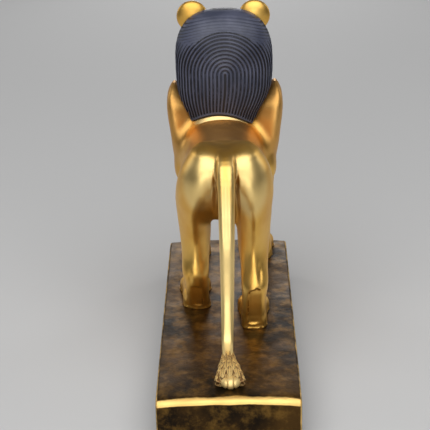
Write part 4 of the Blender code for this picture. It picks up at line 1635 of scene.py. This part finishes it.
@dataclass(frozen=True)
class Plinth:
    """The plinth: a block with scuffed edges, its top worn down along the rear."""

    radius: float = 0.0014
    corner_wear: float = 0.0018
    rear_wave: float = 0.0004
    rear_slope: float = 0.0019
    rear_reach: float = 0.0052
    # The gold band behind: its width at the ends, what the middle adds, its height
    band_width: float = 0.0031
    band_bow: float = 0.0013
    band_height: float = 0.0013
    edge_gold: float = 0.75
    edge_width: float = 0.0011
    edge_lines: tuple[float, ...] = (0.0, 0.25, 0.5, 0.75, 1.0, 1.5, 2.2, 3.2, 4.6)
    line_gap: float = 0.0028

    def lines(self, low: float, high: float) -> Values:
        """Grid lines across one side: close to each other near both of its edges.

        Args:
            low: the side's start.
            high: the side's end.

        Returns:
            The lines' places, rising.
        """
        near = np.array(self.edge_lines) * self.radius
        count = max(2, int((high - low - 2 * near[-1]) / self.line_gap))
        inner = np.linspace(low + near[-1], high - near[-1], count + 1)[1:-1]
        return np.concatenate([low + near, inner, high - near[::-1]])

    def shell(self, low: Points, high: Points) -> tuple[Points, Values]:
        """Corners and faces of a box whose six sides are grids that share their edges.

        Args:
            low: the box's lowest corner.
            high: its highest corner.

        Returns:
            The corners, and four corner numbers for each face.
        """
        lines = [self.lines(low[k], high[k]) for k in range(3)]
        corners_of_sides, faces, count = [], [], 0
        for axis in range(3):
            first, second = (axis + 1) % 3, (axis + 2) % 3
            one, two = np.meshgrid(lines[first], lines[second], indexing="ij")
            number = np.arange(one.size).reshape(one.shape)
            quad = np.stack([number[:-1, :-1], number[1:, :-1], number[1:, 1:], number[:-1, 1:]], -1)
            quad = quad.reshape(-1, 4)
            for level, turned in ((low[axis], True), (high[axis], False)):
                side = np.empty((one.size, 3))
                side[:, axis] = level
                side[:, first] = one.ravel()
                side[:, second] = two.ravel()
                corners_of_sides.append(side)
                faces.append((quad[:, ::-1] if turned else quad) + count)
                count += one.size
        every = np.concatenate(corners_of_sides)
        keys = np.round(every * 1e7).astype(np.int64)
        chosen, number = np.unique(keys, axis=0, return_index=True, return_inverse=True)[1:]
        return every[chosen], number.ravel()[np.concatenate(faces)]

    def rounded(self, places: Points, low: Points, high: Points) -> Points:
        """Pull each corner onto the block with round edges.

        A place near an edge goes to the nearest place of a smaller inner box, and then
        out from it by the radius.

        Args:
            places: the corners of the plain block.
            low: its lowest corner.
            high: its highest corner.

        Returns:
            The moved corners.
        """
        inner = np.clip(places, low + self.radius, high - self.radius)
        out = places - inner
        length = np.linalg.norm(out, axis=1)[:, None]
        return inner + out / np.maximum(length, 1e-9) * self.radius

    def worn(self, places: Points, low: Points, high: Points) -> Points:
        """Lower the top towards its corners, and down a slope along the rear edge.

        The corners fall by high powers of the way out, and the slope is a parabola with
        two shallow waves along it.

        Args:
            places: the block's corners.
            low: its lowest corner.
            high: its highest corner.

        Returns:
            The moved corners.
        """
        middle, half = (low + high) / 2, (high - low) / 2
        across, along = ((places - middle) / half)[:, :2].T
        raised = (places[:, 2] - low[2]) / (high[2] - low[2])
        corner = self.corner_wear * np.abs(across) ** 2.5 * np.abs(along) ** 12
        wave = 0.5 + 0.3 * np.sin(5.1 * across + 0.6) + 0.2 * np.sin(12.7 * across + 2.0)
        rear = self.rear_wave * wave * np.clip(along, 0, 1) ** 60
        to_edge = np.clip((high[1] - places[:, 1]) / self.rear_reach, 0, 1)
        rear = rear + self.rear_slope * (1 - to_edge) ** 2
        moved = places.copy()
        moved[:, 2] -= (corner + rear) * np.clip(2 * raised - 1, 0, 1)
        return moved

    def edge_wear(self, places: Points, low: Points, high: Points) -> Values:
        """How bright the gold shows: most on the rear top edge, less on the others.

        It falls with the distance from an edge as a bell curve, and as a blunter one
        along the rear, where the band is wider in its middle.

        Args:
            places: the block's corners.
            low: its lowest corner.
            high: its highest corner.

        Returns:
            One value for each corner, from 0 to 1.
        """
        to_rear = high[1] - places[:, 1]
        to_side = np.minimum(high[0] - places[:, 0], places[:, 0] - low[0])
        to_front = places[:, 1] - low[1]
        to_top = high[2] - places[:, 2]
        nearest = np.sort(np.stack([np.minimum(to_rear, to_front), to_side, to_top], 1), axis=1)[:, 1]
        width = high[0] - low[0]
        middle = np.clip(4 * to_side * (width - to_side) / width**2, 0, 1)
        band = self.band_width + self.band_bow * middle
        rear = np.exp(-((to_rear / band) ** 4) - (to_top / self.band_height) ** 4)
        other = self.edge_gold * np.exp(-((nearest / self.edge_width) ** 2))
        return np.maximum(rear, other)

    def build(self, finish: bpy.types.Material) -> bpy.types.Object:
        """Make the plinth where its solid is.

        Args:
            finish: its material.

        Returns:
            The finished piece.
        """
        low, high = (np.array(corner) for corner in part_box("plinth"))
        places, faces = self.shell(low, high)
        places = self.rounded(places, low, high)
        wear = self.edge_wear(places, low, high)
        piece = put_mesh("plinth_block", self.worn(places, low, high), faces, finish)
        set_attribute(piece, "wear", wear)
        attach(piece, "root")
        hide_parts("plinth")
        log.info("plinth_block: %d faces", len(piece.data.polygons))
        return piece


# The studio


class Lamp(Enum):
    """The soft lamps: place, the point they face, width, height, power."""

    OVERHEAD = ((0.0, 0.50, 1.00), (0.0, 0.12, 0.10), 1.7, 1.3, 14.0)
    BEHIND = ((0.1, 1.5, 0.42), (0.0, 0.0, 0.10), 0.9, 0.60, 4.5)
    LEFT = ((0.95, -0.75, 0.50), (0.0, 0.0, 0.10), 0.3, 0.7, 1.4)
    RIGHT = ((-0.95, -0.75, 0.50), (0.0, 0.0, 0.10), 0.3, 0.7, 1.4)
    FRONT = ((0.0, -1.2, 0.45), (0.0, -0.05, 0.12), 0.5, 0.4, 2.0)


@dataclass(frozen=True)
class Studio:
    """A pale floor, soft lamps and the camera at the photograph's place."""

    floor_grey: float = 0.62
    world_grey: float = 0.08
    floor_size: float = 4.0
    place: Triple = (-0.0058186, 0.750191, 0.399239)
    yaw: float = -0.96245
    pitch: float = 22.30299
    roll: float = -1.38420
    lens: float = 113.023
    sensor: float = 36.0

    def camera(self) -> bpy.types.Object:
        """Make the camera: it looks forward and down by the pitch, then turns by the roll.

        Returns:
            The camera.
        """
        yaw, pitch, roll = (math.radians(angle) for angle in (self.yaw, self.pitch, self.roll))
        ahead = math.cos(pitch)
        forward = Vector((-math.sin(yaw) * ahead, -math.cos(yaw) * ahead, -math.sin(pitch)))
        right = forward.cross(Vector((0, 0, 1))).normalized()
        up = right.cross(forward)
        level = math.cos(roll) * right + math.sin(roll) * up
        upright = -math.sin(roll) * right + math.cos(roll) * up
        turn = Matrix((level, upright, -forward)).transposed().to_4x4()
        lens = bpy.data.cameras.new("camera")
        lens.lens = self.lens
        lens.sensor_width = self.sensor
        lens.clip_start = 0.01
        camera = bpy.data.objects.new("camera", lens)
        bpy.context.scene.collection.objects.link(camera)
        camera.matrix_world = Matrix.Translation(self.place) @ turn
        bpy.context.scene.camera = camera
        return camera

    def floor(self) -> bpy.types.Object:
        """Make the floor, which isn't part of the object.

        Returns:
            The floor.
        """
        corners_of_floor = np.array(((-1, -1, 0), (1, -1, 0), (1, 1, 0), (-1, 1, 0)), float)
        corners_of_floor = corners_of_floor * self.floor_size / 2
        paper = Shading("floor_paper")
        shades = made_grey(self.floor_grey * 0.97), made_grey(self.floor_grey)
        paper.connect("Base Color", paper.between(paper.noise(3.0), *shades))
        paper.fix(Roughness=0.9)
        floor = put_mesh("floor", corners_of_floor, np.array([[0, 1, 2, 3]]), paper.material)
        return floor

    def lamps(self) -> None:
        """Hang the soft lamps and light the room evenly."""
        for lamp in Lamp:
            place, target, width, height, power = lamp.value
            light = bpy.data.lights.new(lamp.name.lower(), "AREA")
            light.shape = "RECTANGLE"
            light.size, light.size_y, light.energy = width, height, power
            hung = bpy.data.objects.new(lamp.name.lower(), light)
            bpy.context.scene.collection.objects.link(hung)
            hung.location = place
            hung.rotation_euler = (Vector(target) - Vector(place)).to_track_quat("-Z", "Y").to_euler()
        world = bpy.data.worlds.new("room")
        world.use_nodes = True
        world.node_tree.nodes["Background"].inputs["Color"].default_value = made_grey(self.world_grey)
        bpy.context.scene.world = world
        bpy.context.scene.view_settings.view_transform = "Standard"


def made_grey(level: float) -> Colour:
    """A plain grey."""
    return (level, level, level, 1.0)


def main() -> None:
    """Build every piece in order, then the studio."""
    logging.basicConfig(level=logging.INFO, format="%(message)s")
    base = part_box("plinth")[1].z
    unit = (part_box("lioness")[1].z - base) / FIGURE_HEIGHT
    gilding = Gilding().make()
    body = CastPiece("gilded_body", Stance().field, (-44, -112, -3), (44, 84, 136), 0.9, (3.0, 14.0))
    body.build(gilding, unit, base)
    head = CastPiece("gilded_head", Head().field, (-33, -113, 122), (33, -56, 178), 0.5, (1.6, 8.0))
    head.build(gilding, unit, base)
    collar = CastPiece("collar", Wig().collar, (-34, -96, 86), (34, -50, 112), 0.4, (1.6, 14.0))
    collar.build(RIM_HIGHLIGHT_GILDING.make(), unit, base)
    tuft = CastPiece("tail_tuft", Tuft().field, (-11, 60, -3), (11, 103, 14), 0.3, (0.9, 4.0))
    tuft.build(TUFT_GILDING.make(), unit, base)
    wig_box = (-34, -104, 78), (34, -46, 174)
    wig = CastPiece("wig", Wig().field, *wig_box, 0.45, (0.9, 6.0), slot="wig_black")
    wig.build(WigPaint().make(), unit, base)
    Plinth().build(AntiquedPlinth().make())
    studio = Studio()
    studio.camera()
    studio.floor()
    studio.lamps()


if __name__ == "__main__":
    main()
